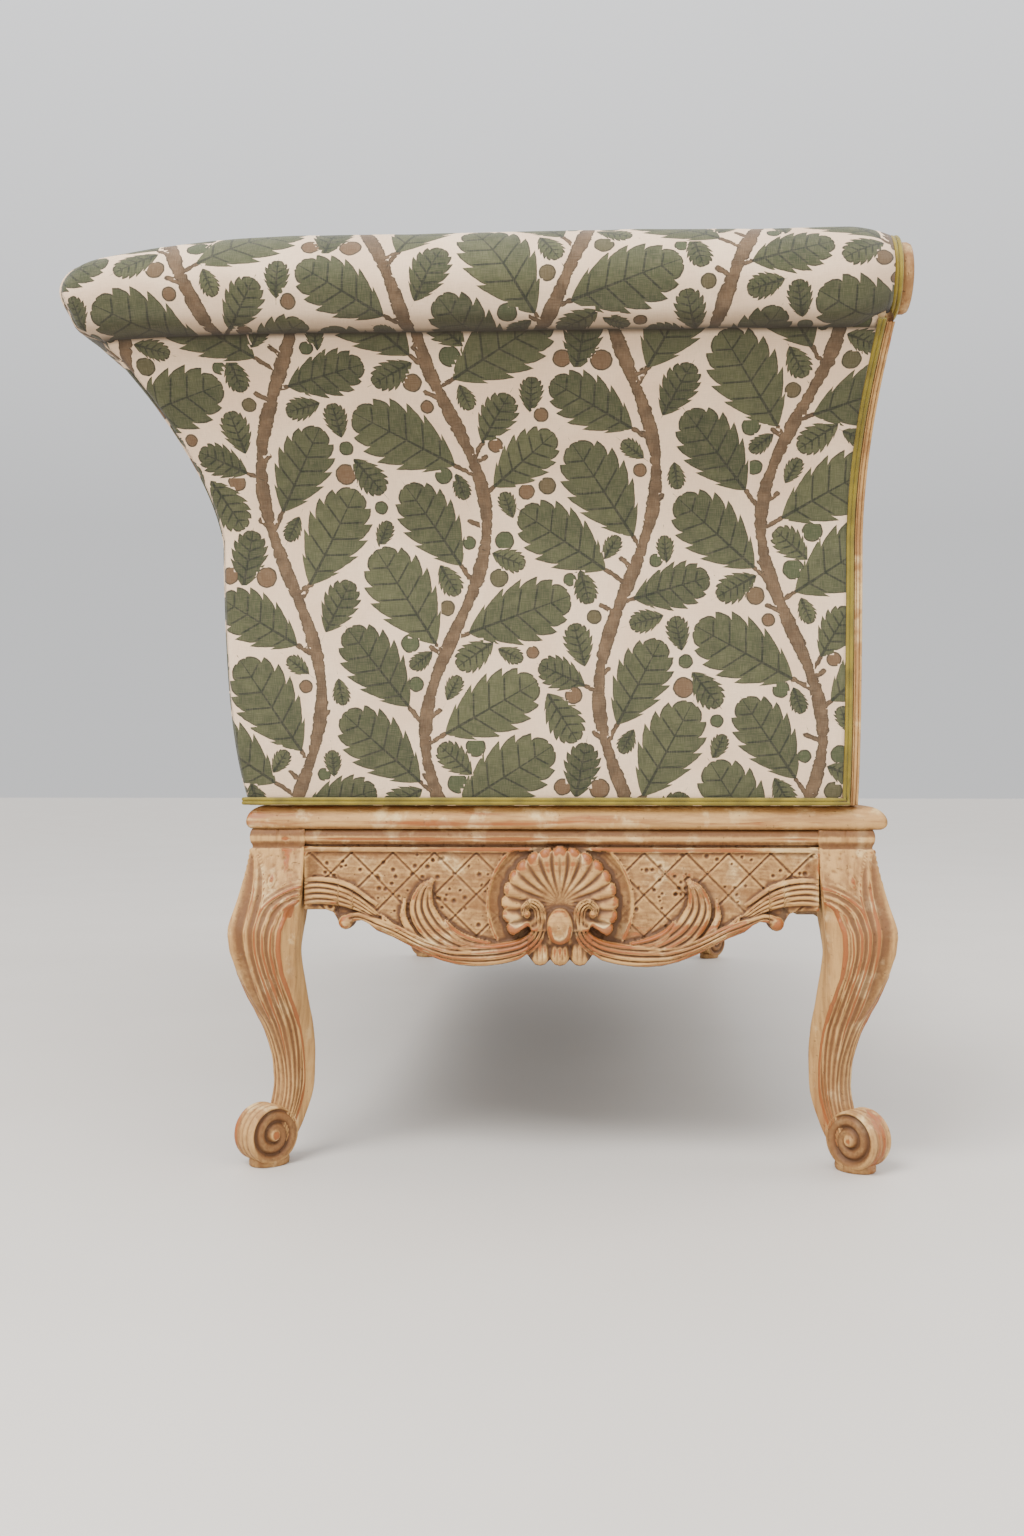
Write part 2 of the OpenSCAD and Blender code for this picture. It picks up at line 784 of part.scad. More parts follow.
// The two screws of a block, each drawn upright with its point at z 0
module corner_screw_pair() {
    for (turn = [0, 1])
        mirror([turn, -turn, 0])
            translate([block_reach - screw_from_edge, -screw_in_rail, block_z])
                rotate([-90, 0, 0]) children();
}
module corner_blocks() { color("tan") corners() corner_block(); }
module corner_screws() {
    color("silver") corners() corner_screw_pair() {
        cylinder(h = corner_screw_long, r = screw_radius - screw_play, $fn = 24);
        translate([0, 0, corner_screw_long])
            cylinder(h = head_high, r = head_radius - rest_gap, $fn = 24);
    }
}
module screw_row(ends) {
    for (x = ends)
        translate([x, apron_inset + rail_thick / 2, seat_top - screw_length])
            cylinder(h = screw_length - rest_gap, r = screw_radius - screw_play, $fn = 24);
}
module board_screws() {
    color("silver") {
        translate([0, front_y, 0]) screw_row(long_screws);
        translate([0, rear_y, 0]) rotate([0, 0, 180]) screw_row(long_screws);
        for (side = [-1, 1])
            translate([side * half_length, middle_y, 0])
                rotate([0, 0, side * 90]) screw_row(end_screws);
    }
}
cross_x = base_length / 6;
cross_thick = 30;
module cross_rails() {
    clear = apron_inset + rail_thick;
    color("tan")
        for (side = [-1, 1])
            translate([side * cross_x - cross_thick / 2, front_y + clear, rail_top - block_high])
                cube([cross_thick, base_depth - 2 * clear, block_high]);
}
// The cloth under the seat lies against the blocks and cross rails from below
module dust_cover() {
    clear = apron_inset + rail_thick + rest_gap;
    notch = post_inset + post_side + rest_gap;
    color("dimgray")
        translate([0, middle_y, rail_top - block_high - cover_thick])
            linear_extrude(cover_thick)
                difference() {
                    square([base_length - 2 * clear, base_depth - 2 * clear], center = true);
                    for (x_sign = [-1, 1], y_sign = [-1, 1])
                        translate([x_sign * half_length, y_sign * base_depth / 2])
                            square(2 * notch, center = true);
                }
}

// Webbing, hessian, stuffed deck and loose cushion

strap_grip = 14;
strap_reach_x = half_length - board_width + strap_grip;
strap_reach_y = base_depth / 2 - board_width + strap_grip;
module webbing_long() {
    pitch = 2 * (strap_reach_y - strap_grip) / straps_long;
    color("peru")
        for (i = [0:straps_long - 1])
            translate([
                -strap_reach_x,
                middle_y + (i + 0.5 - straps_long / 2) * pitch - strap_width / 2,
                seat_top
            ])
                cube([2 * strap_reach_x, strap_width, strap_thick]);
}
module webbing_across() {
    pitch = 2 * (strap_reach_x - strap_grip) / straps_across;
    color("peru")
        for (i = [0:straps_across - 1])
            translate([
                (i + 0.5 - straps_across / 2) * pitch - strap_width / 2,
                middle_y - strap_reach_y,
                seat_top + strap_thick
            ])
                cube([strap_width, 2 * strap_reach_y, strap_thick]);
}
hessian_thick = 1;
seat_edge = facing_inset + 8;
hessian_z = seat_top + 2 * strap_thick;
module hessian_plan() {
    reach = half_length - wall_inside;
    translate([-reach, front_y + seat_edge])
        square([2 * reach, base_depth - wall_inside - seat_edge]);
}
module seat_hessian() {
    color("burlywood")
        translate([0, 0, hessian_z]) linear_extrude(hessian_thick) hessian_plan();
}
deck_z = hessian_z + hessian_thick;
module seat_deck() {
    color("ivory")
        translate([0, 0, deck_z]) linear_extrude(deck_thick) hessian_plan();
}
cushion_z = deck_z + deck_thick;
cushion_half = half_length - wall_inside - cushion_gap;
cushion_front_y = front_y + facing_inset - 2;
cushion_rear_y = rear_y - wall_inside - cushion_gap;
cushion_mid_y = (cushion_front_y + cushion_rear_y) / 2;
cushion_half_y = (cushion_rear_y - cushion_front_y) / 2;
// A rounded rectangle of points, inset evenly from the cushion's seam line
function cushion_ring(inset, z, crown) = [
    for (j = [0:cushion_sides - 1])
        let (
            a = (j + 0.5) * 360 / cushion_sides,
            c = cos(a),
            s = sin(a),
            x = (cushion_half - inset) * sign(c) * pow(abs(c), 0.22),
            y = (cushion_half_y - inset) * sign(s) * pow(abs(s), 0.22),
            rise = crown * (1 - pow(abs(x) / cushion_half, 4))
                * (1 - pow(abs(y) / cushion_half_y, 4))
        )
            [x, cushion_mid_y + y, z + rise]
];
cushion_sides = 48;
module seat_cushion() {
    t = cushion_thick;
    top = cushion_z + t;
    color("darkseagreen")
        skin([
            cushion_ring(cushion_half_y * 0.2, cushion_z, 0),
            cushion_ring(8, cushion_z, 0),
            cushion_ring(0, cushion_z + 7, 0),
            cushion_ring(5, cushion_z + t * 0.3, 0),
            cushion_ring(5, cushion_z + t * 0.7, 0),
            cushion_ring(0, top - 7, 0),
            cushion_ring(6, top - 1, 0),
            cushion_ring(cushion_half_y * 0.11, top, cushion_crown),
            cushion_ring(cushion_half_y * 0.28, top, cushion_crown),
            cushion_ring(cushion_half_y * 0.57, top, cushion_crown),
            cushion_ring(cushion_half_y * 0.88, top, cushion_crown)
        ]);
}

// Wooden frame inside the arms and back

sill_outer = foot_point[0] - panel_thick - rest_gap;
sill_inner = -wall_inside + pad_thick + rest_gap;
module sill_section() {
    translate([sill_inner, seat_top]) square([sill_outer - sill_inner, sill_high]);
}
post_behind = facing_thick + welt_wide;
module arm_sills() {
    color("tan")
        for (side = [-1, 1])
            arm_part()
                swept_wall(side, facing_thick, 2 * base_depth) sill_section();
}
back_post_y = rear_y - wall_inside - stud_thick;
// Below the roll a front post reaches forward to the back of the facing
module below_roll() {
    intersection() {
        children();
        square([2 * wall_inside + 2 * roll_outer, 2 * (roll_centre[1] - roll_radius) - 4],
               center = true);
    }
}
module arm_posts() {
    color("tan")
        for (side = [-1, 1]) {
            swept_wall(side, post_behind, post_behind + stud_thick) stud_section();
            swept_wall(side, facing_thick, post_behind + 1) below_roll() stud_section();
            end_wall(side, back_post_y, back_post_y + stud_thick) stud_section();
        }
}
module back_sill() {
    color("tan") back_part() back_wall(-wall_end_x, wall_end_x) sill_section();
}
back_stud_count = 4;
module back_posts() {
    span = 2 * (half_length - wall_inside) - stud_thick;
    color("tan")
        for (i = [0:back_stud_count - 1])
            let (x = -span / 2 + i * span / (back_stud_count - 1))
                back_wall(x - stud_thick / 2, x + stud_thick / 2) stud_section();
}
module core_section() {
    translate(roll_centre) circle(core_radius, $fn = 64);
}
module arm_roll_rail(side) {
    arm_part() end_wall(side, roll_front_y, wall_end_y) core_section();
}
module roll_rail_left() { color("tan") arm_roll_rail(-1); }
module roll_rail_right() { color("tan") arm_roll_rail(1); }
module roll_rail_back() {
    color("tan") back_part() back_wall(-wall_end_x, wall_end_x) core_section();
}

// Outer panels, rolls and padded inner faces

roll_rounding = 10;
module roll_section() {
    difference() {
        translate(roll_centre) circle(roll_radius, $fn = 96);
        core_section();
    }
}
module arm_panel(side) {
    arm_part() swept_wall(side, post_behind, 2 * base_depth) panel_section();
}
module back_panel() {
    color("darkseagreen")
        back_part() back_wall(-wall_end_x, wall_end_x) panel_section();
}
module arm_roll(side) {
    difference() {
        union() {
            inside_corners()
                arm_part()
                    end_wall(side, roll_front_y + roll_rounding, wall_end_y) roll_section();
            at_left_or_right(side)
                translate([
                    half_length + roll_reach,
                    roll_front_y + roll_rounding,
                    roll_centre[1]
                ])
                    rotate([90, 0, 0]) roll_end();
        }
        arm_posts();
    }
}
// The rounded front end of a roll, round its rail
module roll_end() {
    difference() {
        cylinder(
            h = roll_rounding,
            r1 = roll_radius,
            r2 = roll_radius - roll_rounding,
            $fn = 96
        );
        translate([0, 0, -1]) cylinder(h = roll_rounding + 2, r = core_radius, $fn = 64);
    }
}
module back_roll() {
    color("seagreen")
        difference() {
            inside_corners()
                back_part() back_wall(-wall_end_x, wall_end_x) roll_section();
            back_posts();
        }
}
module arm_pad(side) {
    arm_part() swept_wall(side, post_behind, 2 * base_depth) pad_section();
}
module back_pad() {
    color("darkseagreen")
        back_part() back_wall(-wall_end_x, wall_end_x) pad_section();
}
module arm_panel_left() { color("darkseagreen") arm_panel(-1); }
module arm_panel_right() { color("darkseagreen") arm_panel(1); }
module arm_roll_left() { color("seagreen") arm_roll(-1); }
module arm_roll_right() { color("seagreen") arm_roll(1); }
module arm_pad_left() { color("darkseagreen") arm_pad(-1); }
module arm_pad_right() { color("darkseagreen") arm_pad(1); }

// Carved front facings and turned bosses

facing_margin = 2;
module facing_section() {
    difference() {
        polygon(concat(
            shifted(outer_line, -facing_margin),
            reverse(shifted(inner_line, facing_margin + welt_wide))
        ));
        translate(roll_centre) circle(boss_radius + 2 * welt_radius + 0.3, $fn = 64);
    }
}
module facing(side) {
    swept_wall(side, 0, facing_thick) facing_section();
}
// A turned boss with a rounded rim, a hollow and a button in the middle
boss_rim = 7;
button_radius = 9;
module boss(side) {
    at_left_or_right(side)
        translate([half_length + roll_reach, roll_front_y, roll_centre[1]])
            rotate([90, 0, 0])
                rotate_extrude($fn = 96)
                    polygon(concat(
                        [[0, 0], [boss_radius - 2, 0]],
                        [for (a = [-60:20:100])
                            [boss_radius - boss_rim + boss_rim * cos(a),
                             boss_thick - boss_rim + boss_rim * sin(a)]],
                        [[boss_radius - 2.4 * boss_rim, boss_thick - 5],
                         [button_radius + 1, boss_thick - 6]],
                        [for (a = [30:20:90])
                            [button_radius * cos(a), boss_thick - 7 + 6 * sin(a)]]
                    ));
}
module facing_left() { color("burlywood") facing(-1); }
module facing_right() { color("burlywood") facing(1); }
module boss_left() { color("wheat") boss(-1); }
module boss_right() { color("wheat") boss(1); }

// Double welt that hides the tacked edges

module welt_pair() {
    for (i = [-1, 1])
        translate([0, i * welt_pitch / 2]) circle(welt_radius, $fn = 24);
}
welt_z = seat_top + welt_wide / 2;
welt_foot = foot_point[0] + welt_radius + 2.5;
module edge_welt_sections() {
    polygon(concat(outer_line, reverse(shifted(outer_line, -2 * welt_radius))));
    polygon(concat(
        shifted(inner_line, welt_wide),
        reverse(shifted(inner_line, welt_wide - 2 * welt_radius))
    ));
}
cord_wide = welt_pitch - rest_gap;
second_cord = welt_wide - cord_wide;
module end_welt(side) {
    arm_part()
        end_wall(side, arm_front_y, wall_end_y)
            translate([welt_foot, welt_z]) welt_pair();
    for (from = [facing_thick, facing_thick + second_cord])
        swept_wall(side, from, from + cord_wide)
            difference() {
                edge_welt_sections();
                translate(roll_centre) circle(roll_radius, $fn = 96);
            }
    at_left_or_right(side)
        translate([half_length + roll_reach, roll_front_y, roll_centre[1]])
            rotate([90, 0, 0])
                difference() {
                    cylinder(h = welt_wide, r = boss_radius + 2 * welt_radius, $fn = 64);
                    translate([0, 0, -1])
                        cylinder(h = welt_wide + 2, r = boss_radius, $fn = 64);
                }
}
module welt_left() { color("olive") end_welt(-1); }
module welt_right() { color("olive") end_welt(1); }
module welt_rear() {
    color("olive")
        back_part()
            back_wall(-wall_end_x, wall_end_x)
                translate([welt_foot, welt_z]) welt_pair();
}
module welt_front() {
    reach = half_length - wall_inside;
    color("olive")
        translate([-reach, front_y + seat_edge - welt_radius, welt_z])
            rotate([90, 0, 90]) linear_extrude(2 * reach) welt_pair();
}

leg_front_left();
leg_front_right();
leg_rear_left();
leg_rear_right();
rail_front();
rail_rear();
rail_left();
rail_right();
moulding_front();
moulding_rear();
moulding_left();
moulding_right();
corner_blocks();
corner_screws();
board_screws();
cross_rails();
dust_cover();
webbing_long();
webbing_across();
seat_hessian();
seat_deck();
seat_cushion();
arm_sills();
arm_posts();
back_sill();
back_posts();
roll_rail_left();
roll_rail_right();
roll_rail_back();
arm_panel_left();
arm_panel_right();
back_panel();
arm_roll_left();
arm_roll_right();
back_roll();
arm_pad_left();
arm_pad_right();
back_pad();
facing_left();
facing_right();
boss_left();
boss_right();
welt_left();
welt_right();
welt_rear();
welt_front();
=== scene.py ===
# %% [markdown]
# This lesson dresses a settee with rolled arms in printed linen over a carved, painted base.
# The CAD frame gives every size. Each visible piece is built on that frame, in metres,
# with +Z up and -Y at the front.
# %% Load the fixed frame
import math
from itertools import product

import bmesh
import bpy
import numpy as np
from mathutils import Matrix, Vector


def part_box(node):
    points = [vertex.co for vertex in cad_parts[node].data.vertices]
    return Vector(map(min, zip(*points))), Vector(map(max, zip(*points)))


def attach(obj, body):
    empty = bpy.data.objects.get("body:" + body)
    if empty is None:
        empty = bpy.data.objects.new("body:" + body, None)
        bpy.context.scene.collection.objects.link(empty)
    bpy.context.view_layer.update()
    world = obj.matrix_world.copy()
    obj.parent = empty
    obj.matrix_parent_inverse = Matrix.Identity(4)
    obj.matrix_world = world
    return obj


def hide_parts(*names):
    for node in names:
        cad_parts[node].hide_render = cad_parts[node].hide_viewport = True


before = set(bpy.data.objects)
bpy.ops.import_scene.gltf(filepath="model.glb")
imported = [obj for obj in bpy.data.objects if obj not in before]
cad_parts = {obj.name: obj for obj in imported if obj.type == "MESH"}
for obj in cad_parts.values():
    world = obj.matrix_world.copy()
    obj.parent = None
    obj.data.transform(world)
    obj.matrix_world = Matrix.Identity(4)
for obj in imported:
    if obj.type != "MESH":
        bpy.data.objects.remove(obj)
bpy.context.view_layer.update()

# %% [markdown]
# The photograph was taken from the settee's left end, a little nearer its back.
# A 35 mm lens on a full frame camera, 0.45 m above the floor, gives the same perspective.
# %% Camera
END_X = -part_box("moulding_left")[0].x
REAR_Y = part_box("moulding_rear")[1].y
FRONT_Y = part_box("rail_front")[0].y + 0.004
EYE, LENS = (-2.526, REAR_Y - 0.3588, 0.449), 35
TURN, TILT = math.radians(2.34), math.radians(-0.31)
camera_data = bpy.data.cameras.new("camera")
camera_data.lens = LENS
camera = bpy.data.objects.new("camera", camera_data)
bpy.context.scene.collection.objects.link(camera)
camera.location = EYE
ahead = Vector((math.cos(TURN), math.sin(TURN), math.tan(TILT)))
camera.rotation_euler = ahead.to_track_quat("-Z", "Y").to_euler()
bpy.context.scene.camera = camera
print("camera looks along", [round(v, 3) for v in ahead])

# %% [markdown]
# The studio is a pale floor, a bright dome and three large soft lights. The dome is
# brighter overhead than at its foot, so the undersides of the rolls and the carving's
# hollows fall into shade, as they do in the photograph.
# %% Studio
def soft_light(name, place, target, size, watts):
    """A large area light that points at a target."""
    data = bpy.data.lights.new(name, "AREA")
    data.size, data.energy = size, watts
    lamp = bpy.data.objects.new(name, data)
    lamp.location = place
    lamp.rotation_euler = (Vector(target) - Vector(place)).to_track_quat("-Z", "Y").to_euler()
    bpy.context.scene.collection.objects.link(lamp)


soft_light("key", (-2.9, 1.4, 3.2), (-0.8, 0, 0.5), 1.8, 195)
soft_light("fill", (-3.4, -2.2, 1.9), (-0.6, 0, 0.5), 2.6, 36)
soft_light("front", (0.6, -4.2, 2.8), (0, 0, 0.5), 3.0, 75)
world = bpy.data.worlds.new("sky")
world.use_nodes = True
dome = world.node_tree
dome.nodes["Background"].inputs["Color"].default_value = (0.95, 0.955, 0.97, 1)
up = dome.nodes.new("ShaderNodeSeparateXYZ")
dome.links.new(dome.nodes.new("ShaderNodeTexCoord").outputs["Generated"], up.inputs[0])
lift = dome.nodes.new("ShaderNodeMapRange")
for socket, value in (("From Min", 0.15), ("From Max", 0.9), ("To Min", 0.82), ("To Max", 2.1)):
    lift.inputs[socket].default_value = value
dome.links.new(up.outputs["Z"], lift.inputs[0])
dome.links.new(lift.outputs[0], dome.nodes["Background"].inputs["Strength"])
bpy.context.scene.world = world
bpy.ops.mesh.primitive_plane_add(size=30)
floor = bpy.context.object
floor.name = "floor"

# %% [markdown]
# Materials are graphs of nodes. This small helper writes them in few lines: each method
# adds one node and gives its output as a value. A sign between two values, or between a
# value and a number, adds a Math node, so a finish reads like arithmetic.
# %% A helper for material nodes
def srgb(r, g, b):
    """A colour given in the usual 0 to 255, as the shader's linear one."""
    return tuple((c / 255 / 12.92 if c <= 10 else ((c / 255 + 0.055) / 1.055) ** 2.4)
                 for c in (r, g, b)) + (1,)


COLOUR_OUT, FACTOR_OUT, OBJECT_OUT = 2, 2, 3


class Value:
    """An output of a node in a finish."""
    def __init__(self, finish, socket):
        self.finish, self.socket = finish, socket


def sign_method(operation, turned):
    def method(value, other):
        return value.finish.math(operation, *((other, value) if turned else (value, other)))
    return method


for sign, operation in (("add", "ADD"), ("sub", "SUBTRACT"), ("mul", "MULTIPLY"),
                        ("truediv", "DIVIDE"), ("pow", "POWER")):
    setattr(Value, f"__{sign}__", sign_method(operation, False))
    setattr(Value, f"__r{sign}__", sign_method(operation, True))


class Finish:
    def __init__(self, name, roughness=0.8, **numbers):
        self.material = bpy.data.materials.new(name)
        self.material.use_nodes = True
        self.tree = self.material.node_tree
        self.shader = self.tree.nodes["Principled BSDF"]
        for socket, value in dict(numbers, Roughness=roughness).items():
            self.shader.inputs[socket.replace("_", " ")].default_value = value

    def node(self, kind, out=0, settings=None, **inputs):
        """Adds a node and gives one of its outputs, or all if out is None. Inputs go by
        name, or by number as _0, _1."""
        made = self.tree.nodes.new("ShaderNode" + kind)
        for key, value in (settings or {}).items():
            setattr(made, key, value)
        for key, value in inputs.items():
            self.feed(made.inputs[int(key[1:]) if key[1:].isdigit() else key], value)
        values = [Value(self, socket) for socket in made.outputs]
        return values if out is None else values[out]

    def feed(self, socket, value):
        if isinstance(value, Value):
            self.tree.links.new(value.socket, socket)
        elif value is not None:
            socket.default_value = value

    def math(self, operation, a, b=None, clamp=False):
        return self.node("Math", 0, {"operation": operation, "use_clamp": clamp}, _0=a, _1=b)

    def ramp(self, value, low, high, to_low=0.0, to_high=1.0):
        """Goes smoothly from one value to another while value goes from low to high."""
        return self.node("MapRange", 0, {"interpolation_type": "SMOOTHSTEP"}, _0=value, _1=low,
                         _2=high, _3=to_low, _4=to_high)

    def mix(self, share, a, b):
        return self.node("Mix", COLOUR_OUT, {"data_type": "RGBA"}, _0=share, _6=a, _7=b)

    def noise(self, where, scale, detail=2.0, rough=0.5, stretch=(1, 1, 1)):
        if stretch != (1, 1, 1):
            where = self.node("Mapping", _0=where, _3=stretch)
        return self.node("TexNoise", Vector=where, Scale=scale, Detail=detail, Roughness=rough)

    def place(self):
        return self.node("TexCoord", OBJECT_OUT)

    def map(self, name):
        """The two numbers of one of the piece's UV maps, and both as one vector."""
        vector = self.node("UVMap", 0, {"uv_map": name})
        u, v, _ = self.node("SeparateXYZ", None, _0=vector)
        return u, v, vector

    def attribute(self, name):
        return self.node("Attribute", FACTOR_OUT, {"attribute_name": name})

    def bump(self, height, distance, strength=1.0):
        self.feed(self.shader.inputs["Normal"],
                  self.node("Bump", Strength=strength, Distance=distance, Height=height))

    def paint(self, colour, roughness=None):
        self.feed(self.shader.inputs["Base Color"], colour)
        self.feed(self.shader.inputs["Roughness"], roughness)
        return self.material


print("a mid grey is", round(srgb(128, 128, 128)[0], 3), "as a linear colour")

# %% [markdown]
# The floor is pale and slightly clouded.
# %% Floor finish
floor_finish = Finish("floor_pale", roughness=0.55)
floor_grain = floor_finish.noise(floor_finish.place(), 3, 3)
floor.data.materials.append(floor_finish.paint(floor_finish.mix(
    floor_grain, srgb(204, 197, 188), srgb(212, 206, 198))))
print("finish", floor_finish.material.name)

# %% [markdown]
# The base is old carved wood. Its paint has worn to cream and bone, with grey-white
# remains in the hollows, and orange-brown wood shows where hands and feet rub the ridges.
# Each carved piece carries an attribute for crests and shade, which says how far a point
# stands out, so the wear follows the carving. Where it is low the paint darkens, partly as
# dirt in the hollows and partly as painted shade there and under the board. Three paints
# let the grain follow each piece's length.
# %% Worn paint on carved wood
def worn_paint(name, grain):
    """Paint whose wood grain runs along the axis with the smallest stretch."""
    f = Finish(name, roughness=0.62)
    place = f.place()
    crest_and_shade = f.attribute("crest_and_shade")
    streak = f.noise(place, 75, 4, 0.65, grain)
    flow = f.noise(place, 24, 3, 0.55, grain)
    patch = f.noise(place, 30, 4, 0.6)
    fine = f.noise(place, 170, 3, 0.7)
    rise = crest_and_shade * 1.3 + (fine - 0.5) * 1.7
    paint = f.mix(f.ramp(rise, -1.0, 1.1), srgb(112, 72, 34), srgb(193, 149, 89))
    paint = f.mix(f.ramp(streak, 0.42, 0.64, 0, 0.6), paint, srgb(125, 80, 38))
    old_white = (f.ramp(patch, 0.52, 0.64) * f.ramp(flow, 0.38, 0.6)
                 * f.ramp(rise, -0.2, 0.8, 0.2, 0.8))
    paint = f.mix(old_white, paint, srgb(229, 199, 142))
    rubbed = f.ramp(crest_and_shade + (streak - 0.5) * 4.5, 1.6, 2.5)
    bare = f.math("MAXIMUM", f.ramp(crest_and_shade * 0.10 + flow + streak * 0.35, 0.80, 0.90), rubbed)
    wood = f.mix(streak, srgb(111, 54, 16), srgb(169, 91, 29))
    colour = f.mix(bare * 0.9, paint, wood)
    # Low values darken towards brown: dirt in the hollows, and painted shade in the hollows and on
    # the beads under the board.
    grime_and_shade = f.ramp(crest_and_shade, -0.4, -1.5)
    colour = f.mix(grime_and_shade * 0.62, colour, srgb(66, 40, 19))
    specks = f.ramp(f.noise(place, 240, 2, 0.6), 0.68, 0.74)
    colour = f.mix(specks * 0.5, colour, srgb(84, 56, 34))
    f.bump(streak * 0.6 + bare * -0.4 + fine * 0.5 + specks * -0.6, 0.0014)
    return f.paint(colour, f.ramp(bare, 0, 1, 0.68, 0.5))


ACROSS, LENGTHWAYS, UPRIGHT = (1, 0.09, 1), (0.09, 1, 1), (1, 1, 0.09)
paint_end = worn_paint("worn_paint_end", ACROSS)
paint_long = worn_paint("worn_paint_long", LENGTHWAYS)
paint_upright = worn_paint("worn_paint_upright", UPRIGHT)
print("paint", paint_end.name, paint_long.name, paint_upright.name)

# %% [markdown]
# Most pieces of this settee are long bodies with one closed section, bent or carved on
# their way. A flat grid is bent into such a body: one direction runs along it and the
# other round its section. The seam is welded and the two ends are filled.
# %% Bodies bent from a grid
def show(name, mesh, finish, slot, *nodes):
    """Makes the piece that shows a mesh. It rides on the one body, takes the finish that is
    given, and stands for the CAD nodes that are named, if any, which it hides. The slot is
    not used."""
    mesh.shade_smooth()
    piece = bpy.data.objects.new(name, mesh)
    bpy.context.scene.collection.objects.link(piece)
    mesh.materials.append(finish)
    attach(piece, "root")
    if nodes:
        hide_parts(*nodes)
    print(name, len(mesh.polygons), "faces")
    return piece


def body(name, nodes, points, finish, ends=True, crest_and_shade=None, cloth=None):
    """points[i, j] is point j of ring i. crest and cloth, if given, hold a value or a pair
    for each point."""
    along, around = points.shape[0] - 1, points.shape[1]
    bm = bmesh.new()
    bmesh.ops.create_grid(bm, x_segments=along, y_segments=around, size=0.5)
    mesh = bpy.data.meshes.new(name)
    bm.to_mesh(mesh)
    flat = np.empty(len(mesh.vertices) * 3)
    mesh.vertices.foreach_get("co", flat)
    ring, point = np.rint((flat.reshape(-1, 3)[:, :2] + 0.5) * (along, around)).astype(int).T
    point = point % around
    mesh.vertices.foreach_set("co", points[ring, point].ravel())
    if crest_and_shade is not None:
        worn = mesh.attributes.new("crest_and_shade", "FLOAT", "POINT")
        worn.data.foreach_set("value", crest_and_shade[ring, point])
    if cloth is not None:
        corner = np.empty(len(mesh.loops), int)
        mesh.loops.foreach_get("vertex_index", corner)
        mesh.uv_layers.new(name="cloth").data.foreach_set("uv", cloth[ring, point][corner].ravel())
    bm.clear()
    bm.from_mesh(mesh)
    bmesh.ops.remove_doubles(bm, verts=bm.verts, dist=2e-6)
    if ends:
        bmesh.ops.holes_fill(bm, edges=[e for e in bm.edges if e.is_boundary], sides=0)
    bmesh.ops.recalc_face_normals(bm, faces=bm.faces)
    bm.to_mesh(mesh)
    bm.free()
    slot = "painted_wood" if cloth is None else "printed_linen"
    return show(name, mesh, finish, slot, *nodes)


print("bodies from grids are ready")

# %% [markdown]
# A few shapes come back all over the settee: bell curves, half rounds, bent lines with
# even steps, and a soft swell that takes the stiffness out of wood and cloth.
# %% Curves, bells and swells
def columns(*numbers):
    """Points from their coordinates. A single number serves for all points."""
    return np.stack(np.broadcast_arrays(*numbers), -1).astype(float)


def held(x):
    """The number, held between 0 and 1."""
    return np.clip(x, 0, 1)


def hump(x, wide):
    """A bell curve, 1 at 0 and nearly 0 at twice its width."""
    return np.exp(-(x / wide) ** 2)


def half_round(x, wide):
    """The height of a half round bead, 1 in its middle."""
    return np.sqrt(held(1 - (x / wide) ** 2))


def bezier(points, steps):
    p, t = np.array(points, float), np.linspace(0, 1, steps + 1)[:, None]
    return ((1 - t) ** 3 * p[0] + 3 * t * (1 - t) ** 2 * p[1]
            + 3 * t * t * (1 - t) * p[2] + t ** 3 * p[3])


def evenly(line, step):
    """The same line with points an even step apart."""
    line = np.asarray(line, float)
    run = np.r_[0, np.cumsum(np.hypot(*np.diff(line, axis=0).T))]
    want = np.linspace(0, run[-1], max(2, int(round(run[-1] / step))) + 1)
    return columns(np.interp(want, run, line[:, 0]), np.interp(want, run, line[:, 1]))


def ripple(x, y, size, seed):
    """A soft irregular swell between -1 and 1 with humps of about the given size."""
    rng, total = np.random.RandomState(seed), 0
    for _ in range(7):
        turn, phase = rng.rand() * 2 * math.pi, rng.rand() * 2 * math.pi
        length = size * (0.7 + rng.rand() * 0.9)
        along = x * math.cos(turn) + y * math.sin(turn)
        total = total + np.sin(along * 2 * math.pi / length + phase)
    return total / 4.5


print("a half round at half its width is", round(float(half_round(0.5, 1)), 3), "high")

# %% [markdown]
# The board under the upholstery is four rounded lengths with mitred corners. Years of
# use have dented its nose, so the section is shaken a little on its way.
# %% Moulded board
BOARD_LOW, BOARD_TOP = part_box("moulding_left")[0].z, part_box("moulding_left")[1].z
BOARD_WIDE, FRONT_EXTRA, LOW_ROUND, NOSE_DEEP = 0.084, 0.009, 0.008, 0.02
thick = BOARD_TOP - BOARD_LOW
board_section = np.array(
    [(BOARD_WIDE, 0), (0.05, 0)]
    + [(LOW_ROUND - LOW_ROUND * math.cos(a), LOW_ROUND - LOW_ROUND * math.sin(a))
       for a in np.linspace(math.pi / 2, 0, 8)]
    + [(NOSE_DEEP - NOSE_DEEP * math.cos(a), LOW_ROUND + (thick - LOW_ROUND) * math.sin(a))
       for a in np.linspace(0, math.pi / 2, 14)[1:]]
    + [(0.03, thick), (0.05, thick), (BOARD_WIDE, thick)])


